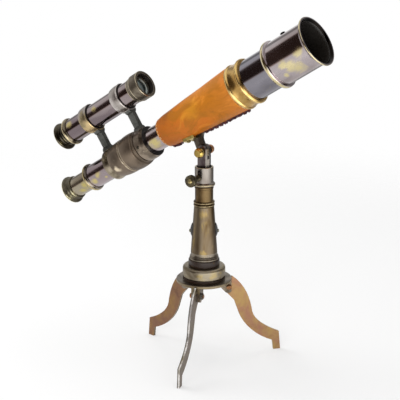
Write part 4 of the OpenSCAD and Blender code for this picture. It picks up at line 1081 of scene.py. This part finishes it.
def lacing(low, high):
    """Path of a whip stitch from one station to another, and the directions away from the barrel's axis.

    Each turn goes across the seam and back: the angle is a cosine of the phase, and the height over the
    leather is level, less the sixth power of that cosine, so the thread dips into the hide at the holes.
    """
    turns = (high - low) / stitch_pitch
    phase = np.linspace(0.0, 2.0 * math.pi * turns, int(turns * turn_samples))
    station = low + phase / (2.0 * math.pi) * stitch_pitch + 0.3 * np.sin(2.0 * phase)
    sway = stitch_reach * np.cos(phase) + seam_lean(station)
    turn = sway / np.interp(station, leather_stations, leather_radii)
    lift = thread_lift - hole_depth * np.abs(np.cos(phase)) ** 6
    radius = leather_radius(station, turn) + lift
    return leather_points(station, radius, turn), spokes(turn)


thread = Finish("waxed_thread")
thread_twist = thread.noise(0.5, 2.0, 0.5, (3.0, 1.0, 1.0), lengthwise)
thread_tone = thread.mix(thread.smooth(thread_twist, 0.4, 0.65), tint("2c0f18"), tint("4f2226"))
thread_finish = thread.finish(thread_tone, 0.5 + thread_twist * 0.2, thread.bump(thread_twist, 0.05), 0.0)
for name, low, high in (("front_lacing", 9.6, 52.6), ("rear_lacing", -22.2, -14.2)):
    path, outward = lacing(low, high)
    points, faces = sweep(path, thread_r, 10, outward)
    piece = add_piece(name, points, faces, thread_finish)
    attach(piece, "telescope")


# Edge stitching.
# A fine pale thread runs round the small end of the sleeve and keeps the cut edge down.

stitch_count = 26
stitch_span = 2.0 * math.pi / stitch_count
stitch_half = 0.36 * stitch_span
stitch_r = 0.00017
stitch_station = -22.2
stitch_lift = 0.1
stitch_dip = 0.34
seam_clear = 0.16
stitch_points = []
stitch_faces = []
for index in range(stitch_count):
    middle = -math.pi + (index + 0.5) * stitch_span
    if abs(middle) < seam_clear:
        continue
    share = np.linspace(-1.0, 1.0, 9)
    turn = middle + share * stitch_half
    station = np.full(len(turn), stitch_station) + 0.12 * np.sin(7.0 * middle)
    arch = stitch_lift - stitch_dip * share**4
    radius = leather_radius(station, turn) + arch
    points, faces = sweep(leather_points(station, radius, turn), stitch_r, 6, spokes(turn))
    stitch_faces.append(faces + len(points) * len(stitch_points))
    stitch_points.append(points)
linen = Finish("linen_thread")
linen_fuzz = linen.noise(0.4, 2.0)
linen_tone = linen.mix(linen.smooth(linen_fuzz, 0.4, 0.6), tint("ecd0a0"), tint("c09a62"))
stitches = add_piece(
    "edge_stitches",
    np.vstack(stitch_points),
    np.vstack(stitch_faces),
    linen.finish(linen_tone, 0.6 + linen_fuzz * 0.2, linen.bump(linen_fuzz, 0.03), 0.0),
)
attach(stitches, "telescope")


# Lenses.
# The objective, the finder's lens and the two eye lenses are coated glass. The finder's lens has
# painted reflections: grey-green on its near side, with a pale crescent along its far edge.

glass = Finish("coated_glass")
glass_bloom = glass.noise(9.0, 2.0)
glass_tone = glass.mix(glass_bloom, tint("10191a"), tint("1a2422"))
coating = {"Coat_Weight": 1.0, "Coat_Roughness": 0.02, "Coat_IOR": 1.9}
dress(
    glass.finish(glass_tone, 0.03 + glass_bloom * 0.03, None, 0.0, **coating),
    "objective_lens",
    "main_eye_lens",
    "finder_eye_lens",
)

seen_lens = Finish("finder_glass")
lens_depth = 0.027
lens_centre = finder_axis - lens_depth * ahead
lens_radius = seen_lens.about(lens_centre, ahead)[1]
lens_bloom = seen_lens.noise(5.0, 2.0)
lens_side = seen_lens.dot(seen_lens.from_point(lens_centre), tuple(aside)) * 1000.0
# Painted reflections: a grey-green sheen on the near side and a pale crescent along the far edge.
crescent = seen_lens.smooth(lens_radius + (lens_bloom - 0.5) * 1.2, 4.6, 6.2)
crescent = crescent * seen_lens.smooth(lens_side, -1.5, -4.0)
lens_tone = seen_lens.mix(lens_bloom, tint("141d1e"), tint("222c2a"))
lens_tone = seen_lens.mix(seen_lens.smooth(lens_side, -1.5, 3.5) * 0.8, lens_tone, tint("7c8f8a"))
lens_tone = seen_lens.mix(crescent, lens_tone, tint("c5cfca"))
dress(seen_lens.finish(lens_tone, 0.05 + crescent * 0.2, None, 0.0, **coating), "finder_lens")

low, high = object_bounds()
